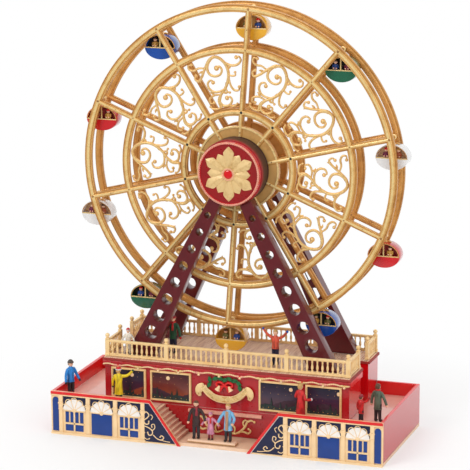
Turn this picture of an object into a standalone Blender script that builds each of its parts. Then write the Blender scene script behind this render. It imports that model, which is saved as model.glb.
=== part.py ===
"""Table-top ferris wheel with a hand crank, as separate pieces in metres, +Z up.

The origin is on the underside of the base, at its middle. The front looks
along -Y and the wheel turns about an axis along Y.
"""
import math

import bmesh
import bpy
from mathutils import Vector

# Fits
GAP = 0.0003
RUNNING_GAP = 0.0009
CUT_OVERRUN = 0.004

# Base tray
BASE_WIDTH = 0.3206
BASE_DEPTH = 0.1304
BASE_HEIGHT = 0.0413
BASE_WALL = 0.0032
PLATE_THICKNESS = 0.003
TERRACE_Z = 0.0287
COURT_HALF_WIDTH = 0.062
COURT_BACK_Y = -0.0305
COURT_HALF_WIDTH_BELOW = 0.036
STAIR_STEPS = 8

# Fronts of the two terraces
FACADE_THICKNESS = 0.003
FRONT_SHEET = 0.0012
SLOPE_FOOT_X = 0.032
SLOPE_TOP_X = 0.0617
BAY_PITCH = 0.0272
BAY_WIDTH = 0.0225
FIRST_BAY_X = 0.0825
BAYS = 3
BAY_SILL_Z = 0.004
BAY_SPRING_Z = 0.0235
END_PANEL_WIDTH = 0.0065
END_PANEL_MARGIN = 0.0015

# House under the deck
HOUSE_HALF_WIDTH = 0.119
HOUSE_WALL = 0.003
NOTCH_FRONT_Y = 0.0072
NOTCH_BACK_Y = 0.0325
NOTCH_DEPTH = 0.013
DECK_TOP_Z = 0.0692
DECK_THICKNESS = 0.003
CORNICE_HEIGHT = 0.0052
CORNICE_PROUD = 0.0018
STRING_COURSE_HEIGHT = 0.003
STRING_COURSE_DEPTH = 0.0022
STRING_COURSE_Z = 0.0235

# Framed pictures on the house front
PICTURE_X = (0.0532, 0.095)
PICTURE_WIDTH = (0.0405, 0.0345)
PICTURE_LOW_Z = 0.0315
PICTURE_HIGH_Z = 0.0605
FRAME_WIDTH = 0.002
FRAME_THICKNESS = 0.0022
PICTURE_THICKNESS = 0.001

# Ribbon and sprig over the court
RIBBON_HALF_WIDTH = 0.0255
RIBBON_HEIGHT = 0.0085
RIBBON_Z = 0.0425
RIBBON_SAG = 0.0035
RIBBON_THICKNESS = 0.0018
LEAF_LENGTH = 0.0135
LEAF_WIDTH = 0.0065
SPRIG_Z = 0.0545
KNOT_HALF_WIDTH = 0.0025

# Railings
RAIL_INSET = 0.0027
RAIL_TOP_Z = 0.0852
RAIL_BAR = 0.0028
RAIL_THICKNESS = 0.002
BALUSTER_PITCH = 0.0056
BALUSTER_WIDTH = 0.0021
POST_RADIUS = 0.0021
POST_TOP_Z = 0.0913
POST_BALL_RADIUS = 0.0024
RAIL_BAYS = 4

# Wheel
WHEEL_Z = 0.2485
WHEEL_Y = 0.0218
WHEEL_TURN = math.radians(4.13)
SPOKES = 10
OUTER_RING_RADIUS = 0.148
MIDDLE_RING_RADIUS = 0.1102
INNER_RING_RADIUS = 0.0527
RING_WIDTH = 0.007
RING_DEPTH = 0.006
FRAME_SPACING = 0.0258
SPOKE_WIDTH = 0.0052
HUB_PLATE_RADIUS = 0.039
TIE_ROD_RADIUS = 0.0018
PIN_RADIUS = 0.0011
AXLE_RADIUS = 0.0016
SCROLL_WIDTH = 0.0021
SCROLL_DEPTH = 0.0014
LARGE_SCROLL_SHARE = 0.30
SMALL_SCROLL_SHARE = 0.105
TAIL_SHARE = 0.19

# Legs and hub housings
LEG_FRONT_Y = -0.016
LEG_DEPTH = 0.012
LEG_FOOT_X = 0.0896
LEG_HEAD_X = 0.0018
LEG_FOOT_HALF_WIDTH = 0.0138
LEG_HEAD_HALF_WIDTH = 0.0052
LEG_HOLES = 8
LEG_HOLE_TOP_Z = 0.2081
LEG_HOLE_LOW_Z = 0.0922
LEG_HOLE_TOP_RADIUS = 0.0031
LEG_HOLE_LOW_RADIUS = 0.0064
LEG_WALL = 0.0013
DRUM_RADIUS = 0.0307
DRUM_WALL = 0.0025
CAP_RADIUS = 0.0296
CAP_THICKNESS = 0.0076
CAP_FRONT_Y = -0.0214
ROPE_RADIUS = 0.0019
PETALS = 12
LONG_PETAL = 0.0232
SHORT_PETAL = 0.0192
PETAL_THICKNESS = 0.0016
BOSS_RADIUS = 0.0066
GEM_RADIUS = 0.0042
REAR_CAP_THICKNESS = 0.002

# Gondolas, measured from the pin they hang on
CAR_HALF_WIDTH = 0.01515
CAR_DEPTH = 0.0135
CAR_SILL = 0.0185
CAR_ROOF_HEIGHT = 0.0125
CAR_BOWL_HEIGHT = 0.011
CAR_WALL = 0.0011
CAR_BOSS_RADIUS = 0.0026
CAR_NECK_HALF_WIDTH = 0.0016
CAR_MULLION = 0.0012
CAR_SIDES = 5
RIDER_RADIUS = 0.0026
RIDER_HEAD_RADIUS = 0.0022
RIDER_HEIGHT = 0.0102
RIDER_SPACING = 0.0056

# Crank drive at the back of the house
GEAR_MODULE = 0.00084
GEAR_TEETH = 30
PINION_TEETH = 10
TOOTH_TIP_SHARE = 0.85
TOOTH_ROOT_SHARE = 1.2
TOOTH_FOOT_SHARE = 0.33
TOOTH_HEAD_SHARE = 0.1
GEAR_FRONT_Y = 0.0437
GEAR_THICKNESS = 0.004
DRIVE_SHAFT_Z = 0.0445
DRIVE_SHAFT_RADIUS = 0.0016
SHAFT_SEAT = 0.0015
BELT_Y = 0.0545
BELT_RADIUS = 0.0005
PULLEY_PITCH_RADIUS = 0.0022
PULLEY_FLANGE_RADIUS = 0.0033
PULLEY_HALF_WIDTH = 0.0016
BEARING_PLATE_Y = 0.0385
BEARING_PLATE_THICKNESS = 0.0025
BEARING_PLATE_MARGIN = 0.005
CRANK_WIRE_RADIUS = 0.0016
CRANK_ARM = 0.021
CRANK_OFFSET = 0.0042
CRANK_PIN = 0.0135
CRANK_BEND = 0.0032
KNOB_RADIUS = 0.0048
KNOB_LENGTH = 0.0125

# Painted people
PERSON_HEIGHT = 0.036
CHILD_HEIGHT = 0.026
PERSON_GIRTH = 0.0046
PERSON_SHARES = (
    (0.0, 1.0), (0.42, 0.94), (0.30, 0.85), (0.86, 0.77), (1.0, 0.45), (0.62, 0.42), (0.7, 0.0), (0.0, 0.0),
)
PLINTH_WIDTH = 0.046
PLINTH_DEPTH = 0.009
PLINTH_HEIGHT = 0.003
PLINTH_X = -0.004
PLINTH_Y = -0.0545

# Facets
RING_SIDES = 50
SECTOR_STEPS = (2, 3, 4)
POST_SIDES = 6
HOLE_SIDES = 12
ROUND_SIDES = 24
SMALL_SIDES = 8
RIBBON_STEPS = 12
LARGE_SCROLL_STEPS = 15
SMALL_SCROLL_STEPS = 8
BEND_STEPS = 3
BALL_STEPS = 5
HALVINGS = 40
FACET_ANGLE = math.radians(35)
FLAT_ANGLE = math.radians(0.2)

# Colours
GOLD = (0.80, 0.55, 0.26)
PALE_GOLD = (0.93, 0.76, 0.48)
MAROON = (0.16, 0.016, 0.018)
RED = (0.60, 0.015, 0.02)
CREAM = (0.93, 0.77, 0.55)
STEEL = (0.55, 0.55, 0.57)
DARK = (0.02, 0.02, 0.03)
CAR_COLOURS = (
    (0.85, 0.55, 0.03), (0.02, 0.30, 0.14), (0.85, 0.83, 0.78), (0.75, 0.01, 0.02), (0.01, 0.12, 0.55),
)

# Places worked out from the sizes above
HALF_WIDTH = BASE_WIDTH / 2
HALF_DEPTH = BASE_DEPTH / 2
FRAME_Y = (WHEEL_Y - FRAME_SPACING / 2, WHEEL_Y + FRAME_SPACING / 2)
FRONT_FACE_Y = FRAME_Y[0] - RING_DEPTH / 2
REAR_FACE_Y = FRAME_Y[1] + RING_DEPTH / 2
HOUSE_FRONT_Y = COURT_BACK_Y
HOUSE_TOP_Z = DECK_TOP_Z - DECK_THICKNESS
REAR_LEG_BACK_Y = 2 * WHEEL_Y - LEG_FRONT_Y
REAR_LEG_FRONT_Y = REAR_LEG_BACK_Y - LEG_DEPTH
LEG_LEAN = (LEG_FOOT_X - LEG_HEAD_X) / (WHEEL_Z - DECK_TOP_Z)
DRUM_FRONT_Y = CAP_FRONT_Y + CAP_THICKNESS + GAP
DRIVE_SHAFT_X = LEG_FOOT_X + LEG_LEAN * (DECK_TOP_Z - DRIVE_SHAFT_Z)
CRANK_X = DRIVE_SHAFT_X - GEAR_MODULE * (GEAR_TEETH + PINION_TEETH) / 2
CRANK_ARM_Y = HALF_DEPTH + CRANK_OFFSET
PEOPLE = (
    ("left_terrace_man", TERRACE_Z, (-0.1500, -0.0400, PERSON_HEIGHT)),
    ("left_terrace_child", TERRACE_Z, (-0.1000, -0.0445, PERSON_HEIGHT)),
    ("right_terrace_woman", TERRACE_Z, (0.0770, -0.0440, PERSON_HEIGHT)),
    ("deck_child_left", DECK_TOP_Z, (-0.0990, -0.0215, CHILD_HEIGHT)),
    ("deck_man", DECK_TOP_Z, (-0.0620, 0.0000, PERSON_HEIGHT)),
    ("deck_child_right", DECK_TOP_Z, (0.0420, -0.0100, PERSON_HEIGHT)),
)
PAIR = ((0.1310, -0.0330), (0.1440, -0.0230))
TRIO = ((-0.0200, PERSON_HEIGHT), (-0.0060, CHILD_HEIGHT), (0.0110, PERSON_HEIGHT))


def clear_scene():
    for item in list(bpy.data.objects):
        bpy.data.objects.remove(item, do_unlink=True)


def new_collection(name):
    group = bpy.data.collections.new(name)
    bpy.context.scene.collection.children.link(group)
    return group


clear_scene()
PARTS = new_collection("ferris_wheel")
CUTTERS = new_collection("cutters")


def paint(name, colour, roughness=0.45, metallic=0.0):
    """Returns a plain Principled material."""
    material = bpy.data.materials.get(name) or bpy.data.materials.new(name)
    material.use_nodes = True
    shader = material.node_tree.nodes["Principled BSDF"]
    shader.inputs["Base Color"].default_value = (*colour, 1.0)
    shader.inputs["Roughness"].default_value = roughness
    shader.inputs["Metallic"].default_value = metallic
    return material


def link(name, data, material, group=None):
    item = bpy.data.objects.new(name, data)
    (group or PARTS).objects.link(item)
    if material and not data.materials:
        data.materials.append(material)
    return item


def as_cutter(item):
    for group in list(item.users_collection):
        group.objects.unlink(item)
    CUTTERS.objects.link(item)
    item.hide_render = True
    item.display_type = "WIRE"
    return item


def boolean(target, tool, operation="DIFFERENCE"):
    step = target.modifiers.new(operation.lower(), "BOOLEAN")
    step.operation = operation
    step.object = as_cutter(tool)
    return target


def smooth(mesh):
    mesh.shade_smooth()
    mesh.set_sharp_from_angle(angle=FACET_ANGLE)


def box(name, low, high, material=None):
    """A box between two corners."""
    mesh = bpy.data.meshes.new(name)
    shape = bmesh.new()
    bmesh.ops.create_cube(shape, size=1.0)
    low, high = Vector(low), Vector(high)
    bmesh.ops.scale(shape, vec=high - low, verts=shape.verts)
    shape.to_mesh(mesh)
    shape.free()
    item = link(name, mesh, material)
    item.location = (low + high) / 2
    return item


def flat_curve(name, outlines, thickness, material=None):
    """A flat plate from closed outlines, the inner ones being holes."""
    curve = bpy.data.curves.new(name, "CURVE")
    curve.dimensions = "2D"
    curve.fill_mode = "BOTH"
    curve.extrude = thickness / 2
    for outline in outlines:
        spline = curve.splines.new("POLY")
        spline.points.add(len(outline) - 1)
        for point, (x, y) in zip(spline.points, outline):
            point.co = (x, y, 0.0, 1.0)
        spline.use_cyclic_u = True
    return link(name, curve, material)


def standing_plate(name, outlines, front_y, thickness, material=None):
    """A plate whose outlines are drawn in X and Z, seen from the front."""
    item = flat_curve(name, outlines, thickness, material)
    item.rotation_euler = (math.pi / 2, 0, 0)
    item.location.y = front_y + thickness / 2
    return item


def lying_plate(name, outlines, low_z, thickness, material=None):
    """A plate whose outlines are drawn in X and Y, seen from above."""
    item = flat_curve(name, outlines, thickness, material)
    item.location.z = low_z + thickness / 2
    return item


def to_mesh(item):
    """Turns a curve object into a closed mesh object at the same place."""
    bpy.context.view_layer.update()
    evaluated = item.evaluated_get(bpy.context.evaluated_depsgraph_get())
    mesh = bpy.data.meshes.new_from_object(evaluated)
    name, placing = item.name, item.matrix_world.copy()
    material = item.data.materials[0] if item.data.materials else None
    bpy.data.objects.remove(item)
    shape = bmesh.new()
    shape.from_mesh(mesh)
    bmesh.ops.remove_doubles(shape, verts=shape.verts, dist=GAP / 30)
    bmesh.ops.recalc_face_normals(shape, faces=shape.faces)
    bmesh.ops.dissolve_limit(shape, angle_limit=FLAT_ANGLE, verts=shape.verts, edges=shape.edges)
    shape.to_mesh(mesh)
    shape.free()
    smooth(mesh)
    fresh = link(name, mesh, material)
    fresh.matrix_world = placing
    return fresh


def turned(name, profile, centre, material=None, sides=ROUND_SIDES, closed=False):
    """A turned solid about a vertical axis. The profile lists (radius, height), its outer side from the top down."""
    mesh = bpy.data.meshes.new(name)
    shape = bmesh.new()
    corners = [shape.verts.new((radius, 0, along)) for radius, along in profile]
    count = len(corners)
    for index in range(count if closed else count - 1):
        shape.edges.new((corners[index], corners[(index + 1) % count]))
    shape.to_mesh(mesh)
    shape.free()
    item = link(name, mesh, material)
    screw = item.modifiers.new("turn", "SCREW")
    screw.steps = screw.render_steps = sides
    screw.use_merge_vertices = True
    screw.merge_threshold = GAP / 10
    item.location = centre
    return item


def turned_y(name, profile, x, z, material=None, sides=ROUND_SIDES, closed=False):
    """A turned solid about an axis along Y. The profile lists (radius, y), its outer side from the front back."""
    item = turned(name, [(radius, -y) for radius, y in profile], (x, 0, z), material, sides, closed)
    item.rotation_euler = (math.pi / 2, 0, 0)
    return item


def rod_y(name, radius, front_y, back_y, x, z, material=None, sides=ROUND_SIDES):
    return turned_y(name, [(0, front_y), (radius, front_y), (radius, back_y), (0, back_y)], x, z, material, sides)


def tube(name, points, radius, material=None, cyclic=False, resolution=1):
    curve = bpy.data.curves.new(name, "CURVE")
    curve.dimensions = "3D"
    curve.bevel_depth = radius
    curve.bevel_resolution = resolution
    curve.use_fill_caps = not cyclic
    spline = curve.splines.new("POLY")
    spline.points.add(len(points) - 1)
    for point, place in zip(spline.points, points):
        point.co = (*place, 1.0)
    spline.use_cyclic_u = cyclic
    return link(name, curve, material)


def fuse(name, items, material, overlapping=False):
    """Unites pieces with the first of them. Overlapping says that the others also overlap each other."""
    group = bpy.data.collections.new(name + "_pieces")
    CUTTERS.children.link(group)
    meshes = [to_mesh(item) if item.type == "CURVE" else item for item in items]
    whole = meshes[0]
    whole.name = name
    whole.data.materials.clear()
    whole.data.materials.append(material)
    for piece in meshes[1:]:
        group.objects.link(as_cutter(piece))
    step = whole.modifiers.new("union", "BOOLEAN")
    step.operation = "UNION"
    step.operand_type = "COLLECTION"
    step.collection = group
    step.use_self = overlapping
    return whole


def arc(centre, radius, start, end, steps):
    """Points of an arc, both ends included, angles counter-clockwise from +X."""
    turn = (end - start) / steps
    return [
        (centre[0] + radius * math.cos(start + turn * step), centre[1] + radius * math.sin(start + turn * step))
        for step in range(steps + 1)
    ]


def circle(centre, radius, sides):
    return arc(centre, radius, 0.0, 2 * math.pi, sides)[:-1]


def rectangle(low, high):
    return [(low[0], low[1]), (high[0], low[1]), (high[0], high[1]), (low[0], high[1])]


def mirrored(outline):
    return [(-x, y) for x, y in reversed(outline)]


def spoke_angle(index):
    """Angle of a spoke, clockwise from the top as seen from the front."""
    return WHEEL_TURN + 2 * math.pi * index / SPOKES


def wheel_place(radius, angle, y=WHEEL_Y):
    return Vector((radius * math.sin(angle), y, WHEEL_Z + radius * math.cos(angle)))


gold = paint("gold", GOLD, 0.35, 0.6)
pale_gold = paint("pale_gold", PALE_GOLD, 0.45)
maroon = paint("maroon", MAROON, 0.35)
red = paint("red", RED, 0.35)
cream = paint("cream", CREAM, 0.5)
steel = paint("steel", STEEL, 0.35, 1.0)
dark = paint("dark", DARK, 0.5)


# Base


def base_plate():
    lower = (-HALF_WIDTH, -HALF_DEPTH + FACADE_THICKNESS + GAP, 0)
    return box("base_plate", lower, (HALF_WIDTH, HALF_DEPTH, PLATE_THICKNESS), dark)


def base_tray():
    front = -HALF_DEPTH + FACADE_THICKNESS + GAP
    bottom = PLATE_THICKNESS + GAP
    tray = box("base_tray", (-HALF_WIDTH, front, bottom), (HALF_WIDTH, HALF_DEPTH, BASE_HEIGHT), red)
    inner = HALF_WIDTH - BASE_WALL
    back = HALF_DEPTH - BASE_WALL
    over = CUT_OVERRUN
    boolean(tray, box("terrace_cut", (-inner, front + FRONT_SHEET, TERRACE_Z), (inner, back, BASE_HEIGHT + over)))
    house = HOUSE_HALF_WIDTH + GAP
    boolean(tray, box("house_seat_cut", (-house, 0, TERRACE_Z), (house, HALF_DEPTH + over, BASE_HEIGHT + over)))
    boolean(tray, box("court_cut", (-COURT_HALF_WIDTH, front - over, bottom - over),
                      (COURT_HALF_WIDTH, COURT_BACK_Y, BASE_HEIGHT + over)))
    course = COURT_HALF_WIDTH_BELOW
    moulding = box("string_course", (-course, COURT_BACK_Y - STRING_COURSE_DEPTH, STRING_COURSE_Z),
                   (course, COURT_BACK_Y + BASE_WALL / 2, STRING_COURSE_Z + STRING_COURSE_HEIGHT))
    boolean(tray, moulding, "UNION")
    return tray


def bay_outline(centre_x, inset=0.0):
    half = BAY_WIDTH / 2 - inset
    arch = arc((centre_x, BAY_SPRING_Z), half, 0.0, math.pi, SMALL_SIDES)
    return [(centre_x - half, BAY_SILL_Z + inset), (centre_x + half, BAY_SILL_Z + inset)] + arch


def facades():
    """The two fronts, each with three arched bays and a tall end panel."""
    top = BASE_HEIGHT
    edge = [(SLOPE_FOOT_X, 0), (HALF_WIDTH, 0), (HALF_WIDTH, top), (SLOPE_TOP_X, top)]
    bays = [bay_outline(FIRST_BAY_X + BAY_PITCH * index) for index in range(BAYS)]
    end_right = HALF_WIDTH - END_PANEL_MARGIN
    end_low = (end_right - END_PANEL_WIDTH, BAY_SILL_Z)
    bays.append(rectangle(end_low, (end_right, BAY_SPRING_Z + BAY_WIDTH / 2)))
    standing_plate("right_facade", [edge] + bays, -HALF_DEPTH, FACADE_THICKNESS, cream)
    standing_plate("left_facade", [mirrored(line) for line in [edge] + bays], -HALF_DEPTH, FACADE_THICKNESS, cream)


def stairs():
    """Two flights that come down from the terraces into the court."""
    low_z = PLATE_THICKNESS + GAP
    wide = COURT_HALF_WIDTH - GAP
    run = (wide - COURT_HALF_WIDTH_BELOW) / STAIR_STEPS
    rise = (TERRACE_Z - low_z) / STAIR_STEPS
    outline = [(wide, low_z)]
    for step in range(STAIR_STEPS):
        x = COURT_HALF_WIDTH_BELOW + run * step
        outline += [(x, low_z + rise * step), (x, low_z + rise * (step + 1))]
    outline.append((wide, TERRACE_Z))
    front = -HALF_DEPTH + FACADE_THICKNESS + GAP
    depth = COURT_BACK_Y - GAP - front
    standing_plate("right_stairs", [outline], front, depth, cream)
    standing_plate("left_stairs", [mirrored(outline)], front, depth, cream)


# House


def house_outline(offset, back_offset=0.0):
    """Plan of the house with a recess in each side, grown by an offset."""
    wide = HOUSE_HALF_WIDTH + offset
    narrow = HOUSE_HALF_WIDTH - NOTCH_DEPTH + offset
    half = [
        (wide, HOUSE_FRONT_Y - offset), (wide, NOTCH_FRONT_Y + offset), (narrow, NOTCH_FRONT_Y + offset),
        (narrow, NOTCH_BACK_Y - offset), (wide, NOTCH_BACK_Y - offset), (wide, HALF_DEPTH + back_offset),
    ]
    return half + mirrored(half)


def house():
    """Walls, deck and cornice."""
    low = TERRACE_Z + GAP
    plan = [house_outline(0), house_outline(-HOUSE_WALL, -HOUSE_WALL)]
    walls = to_mesh(lying_plate("house_walls", plan, low, HOUSE_TOP_Z - GAP - low, red))
    inner_y = HALF_DEPTH - HOUSE_WALL
    outer_y = HALF_DEPTH + CUT_OVERRUN
    hole = CRANK_WIRE_RADIUS + GAP
    boolean(walls, rod_y("crank_hole", hole, inner_y - CUT_OVERRUN, outer_y, CRANK_X, DRIVE_SHAFT_Z))
    seat = DRIVE_SHAFT_RADIUS + GAP
    boolean(walls, rod_y("shaft_seat", seat, inner_y - CUT_OVERRUN, inner_y + SHAFT_SEAT + GAP,
                         DRIVE_SHAFT_X, DRIVE_SHAFT_Z))
    slot_x = leg_middle(DECK_TOP_Z - DECK_THICKNESS / 2)
    slot_half = leg_half_width(DECK_TOP_Z) - 2 * LEG_WALL
    slot = rectangle((slot_x - slot_half, BELT_Y - PULLEY_HALF_WIDTH), (slot_x + slot_half, BELT_Y + PULLEY_HALF_WIDTH))
    lying_plate("deck", [house_outline(CORNICE_PROUD), slot], HOUSE_TOP_Z, DECK_THICKNESS, cream)
    wide = HOUSE_HALF_WIDTH + CORNICE_PROUD
    seat_x = HOUSE_HALF_WIDTH + GAP
    half = [(wide, HOUSE_FRONT_Y - CORNICE_PROUD), (wide, NOTCH_FRONT_Y), (seat_x, NOTCH_FRONT_Y),
            (seat_x, HOUSE_FRONT_Y - GAP)]
    low = HOUSE_TOP_Z - GAP - CORNICE_HEIGHT
    lying_plate("cornice", [half + mirrored(half)], low, CORNICE_HEIGHT, red)


def pictures():
    """Four framed pictures on the house front, each a frame with a sunk panel."""
    back = HOUSE_FRONT_Y - GAP
    number = 1
    for sign in (-1, 1):
        for x, width in zip(PICTURE_X, PICTURE_WIDTH):
            low = Vector((sign * x - width / 2, back - FRAME_THICKNESS, PICTURE_LOW_Z))
            high = Vector((sign * x + width / 2, back, PICTURE_HIGH_Z))
            picture = box(f"picture_{number}", low, high, pale_gold)
            margin = Vector((FRAME_WIDTH, 0, FRAME_WIDTH))
            sunk = Vector((0, PICTURE_THICKNESS, 0))
            forward = Vector((0, CUT_OVERRUN, 0))
            boolean(picture, box("panel_recess", low + margin - forward, high - margin - sunk))
            number += 1


def ribbon():
    """A hanging ribbon with folded tails, and a sprig of two leaves with a bow above it."""
    back = HOUSE_FRONT_Y - GAP
    lower, upper = [], []
    for step in range(RIBBON_STEPS + 1):
        share = -1 + 2 * step / RIBBON_STEPS
        x = RIBBON_HALF_WIDTH * share
        z = RIBBON_Z - RIBBON_SAG * math.cos(math.pi * share)
        lower.append((x, z - RIBBON_HEIGHT / 2))
        upper.append((x, z + RIBBON_HEIGHT / 2))
    pieces = [standing_plate("ribbon", [lower + upper[::-1]], back - RIBBON_THICKNESS, RIBBON_THICKNESS)]
    for sign in (-1, 1):
        leaf = []
        for step in range(SMALL_SIDES):
            turn = 2 * math.pi * step / SMALL_SIDES
            along = LEAF_LENGTH / 2 * math.cos(turn)
            across = LEAF_WIDTH / 2 * math.sin(turn)
            leaf.append((sign * (LEAF_LENGTH / 2 + along), SPRIG_Z + across))
        pieces.append(standing_plate("leaf", [leaf[::sign]], back - RIBBON_THICKNESS, RIBBON_THICKNESS))
    knot = [(-KNOT_HALF_WIDTH, RIBBON_Z - RIBBON_HEIGHT / 4), (KNOT_HALF_WIDTH, RIBBON_Z - RIBBON_HEIGHT / 4),
            (KNOT_HALF_WIDTH, SPRIG_Z + LEAF_WIDTH / 4), (-KNOT_HALF_WIDTH, SPRIG_Z + LEAF_WIDTH / 4)]
    pieces.append(standing_plate("knot", [knot], back - FRAME_THICKNESS, FRAME_THICKNESS))
    fuse("ribbon_and_sprig", pieces, pale_gold, True)


# Railings


def rail_outline(length, posts, skip_first):
    """Outer line of a rail with a ball-topped post at each division of its length."""
    low = DECK_TOP_Z + GAP
    line = [(-POST_RADIUS if not skip_first else 0.0, low), (length + POST_RADIUS, low)]
    neck = POST_TOP_Z - 2 * POST_BALL_RADIUS
    for index in reversed(range(posts)):
        x = length * index / (posts - 1)
        if index == 0 and skip_first:
            line.append((0.0, RAIL_TOP_Z))
            continue
        if index < posts - 1:
            line.append((x + POST_RADIUS, RAIL_TOP_Z))
        line.append((x + POST_RADIUS, neck - POST_RADIUS))
        line += arc((x, POST_TOP_Z - POST_BALL_RADIUS), POST_BALL_RADIUS, -math.pi / 3, math.pi * 4 / 3, BALL_STEPS)
        line.append((x - POST_RADIUS, neck - POST_RADIUS))
        if index > 0:
            line.append((x - POST_RADIUS, RAIL_TOP_Z))
    return line


def railing(name, start, end, posts, gap_at_start=0.0):
    """A pierced rail with posts, from one point of the deck to another. A gap keeps it clear of a post there."""
    start, end = Vector(start), Vector(end)
    along = (end - start).normalized()
    first = start + along * gap_at_start
    length = (end - first).length
    low, high = DECK_TOP_Z + GAP, RAIL_TOP_Z
    outlines = [rail_outline(length, posts, gap_at_start > 0)]
    bays = posts - 1
    for bay in range(bays):
        left_edge = length * bay / bays + (BALUSTER_WIDTH if gap_at_start else POST_RADIUS)
        clear = length * (bay + 1) / bays - POST_RADIUS - left_edge
        count = int((clear + BALUSTER_WIDTH) / BALUSTER_PITCH)
        pitch = (clear + BALUSTER_WIDTH) / count
        for index in range(count):
            left = left_edge + pitch * index
            outlines.append(rectangle((left, low + RAIL_BAR), (left + pitch - BALUSTER_WIDTH, high - RAIL_BAR)))
    rail = flat_curve(name, outlines, RAIL_THICKNESS, pale_gold)
    rail.rotation_euler = (math.pi / 2, 0, math.atan2(along.y, along.x))
    rail.location = (first.x, first.y, 0)


def railings():
    wide = HOUSE_HALF_WIDTH - RAIL_INSET + CORNICE_PROUD / 2
    front_y, rear_y = HOUSE_FRONT_Y + RAIL_INSET, HALF_DEPTH - RAIL_INSET
    railing("front_railing", (-wide, front_y), (wide, front_y), RAIL_BAYS + 1)
    railing("rear_railing", (-wide, rear_y), (wide, rear_y), RAIL_BAYS + 1)
    clear = RAIL_THICKNESS / 2 + GAP
    for side, x in (("left", -wide), ("right", wide)):
        railing(f"{side}_front_side_railing", (x, front_y), (x, NOTCH_FRONT_Y - RAIL_INSET), 2, clear)
        railing(f"{side}_rear_side_railing", (x, rear_y), (x, NOTCH_BACK_Y + RAIL_INSET), 2, clear)


# Legs and hub


def leg_middle(z):
    return LEG_FOOT_X + LEG_LEAN * (DECK_TOP_Z - z)


def leg_half_width(z):
    share = (z - DECK_TOP_Z) / (WHEEL_Z - DECK_TOP_Z)
    return LEG_FOOT_HALF_WIDTH + share * (LEG_HEAD_HALF_WIDTH - LEG_FOOT_HALF_WIDTH)


def leg_edge_at_drum(side, radius):
    """Where one edge of a leg, set in from its outline, meets a circle about the hub."""
    low, high = DECK_TOP_Z, WHEEL_Z
    for _ in range(HALVINGS):
        z = (low + high) / 2
        x = leg_middle(z) + side * leg_half_width(z)
        if math.hypot(x, WHEEL_Z - z) > radius:
            low = z
        else:
            high = z
    return (leg_middle(low) + side * leg_half_width(low), low)


def leg_outline(radius, inset=0.0, foot_z=DECK_TOP_Z + GAP):
    """A tapered leg from the deck up to a circle about the hub, drawn on the right."""
    middle, half = leg_middle(foot_z), leg_half_width(foot_z) - inset
    outer = leg_edge_at_drum(1, radius)
    inner = leg_edge_at_drum(-1, radius)
    head_z = (outer[1] + inner[1]) / 2
    outer = (outer[0] - inset, outer[1])
    inner = (inner[0] + inset, inner[1])
    crown = (leg_middle(head_z), WHEEL_Z - math.sqrt(radius ** 2 - leg_middle(head_z) ** 2))
    return [(middle - half, foot_z), (middle + half, foot_z), outer, crown, inner]


def leg_holes(count):
    rounds = []
    for index in range(count):
        share = index / (LEG_HOLES - 1)
        z = LEG_HOLE_TOP_Z + share * (LEG_HOLE_LOW_Z - LEG_HOLE_TOP_Z)
        radius = LEG_HOLE_TOP_RADIUS + share * (LEG_HOLE_LOW_RADIUS - LEG_HOLE_TOP_RADIUS)
        rounds.append(circle((leg_middle(z), z), radius, HOLE_SIDES))
    return rounds


def legs():
    head = DRUM_RADIUS + GAP
    for depth_name, front_y, count in (("front", LEG_FRONT_Y, LEG_HOLES), ("rear", REAR_LEG_FRONT_Y, LEG_HOLES - 1)):
        outlines = [leg_outline(head)] + leg_holes(count)
        left = [mirrored(line) for line in outlines]
        standing_plate(depth_name + "_left_leg", left, front_y, LEG_DEPTH, maroon)
        right = standing_plate(depth_name + "_right_leg", outlines, front_y, LEG_DEPTH, maroon)
        if depth_name == "rear":
            right = to_mesh(right)
            channel = leg_outline(head - CUT_OVERRUN, LEG_WALL, DECK_TOP_Z - CUT_OVERRUN)
            cutter = standing_plate("belt_channel", [channel], front_y + LEG_WALL, LEG_DEPTH)
            boolean(right, to_mesh(cutter))


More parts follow.
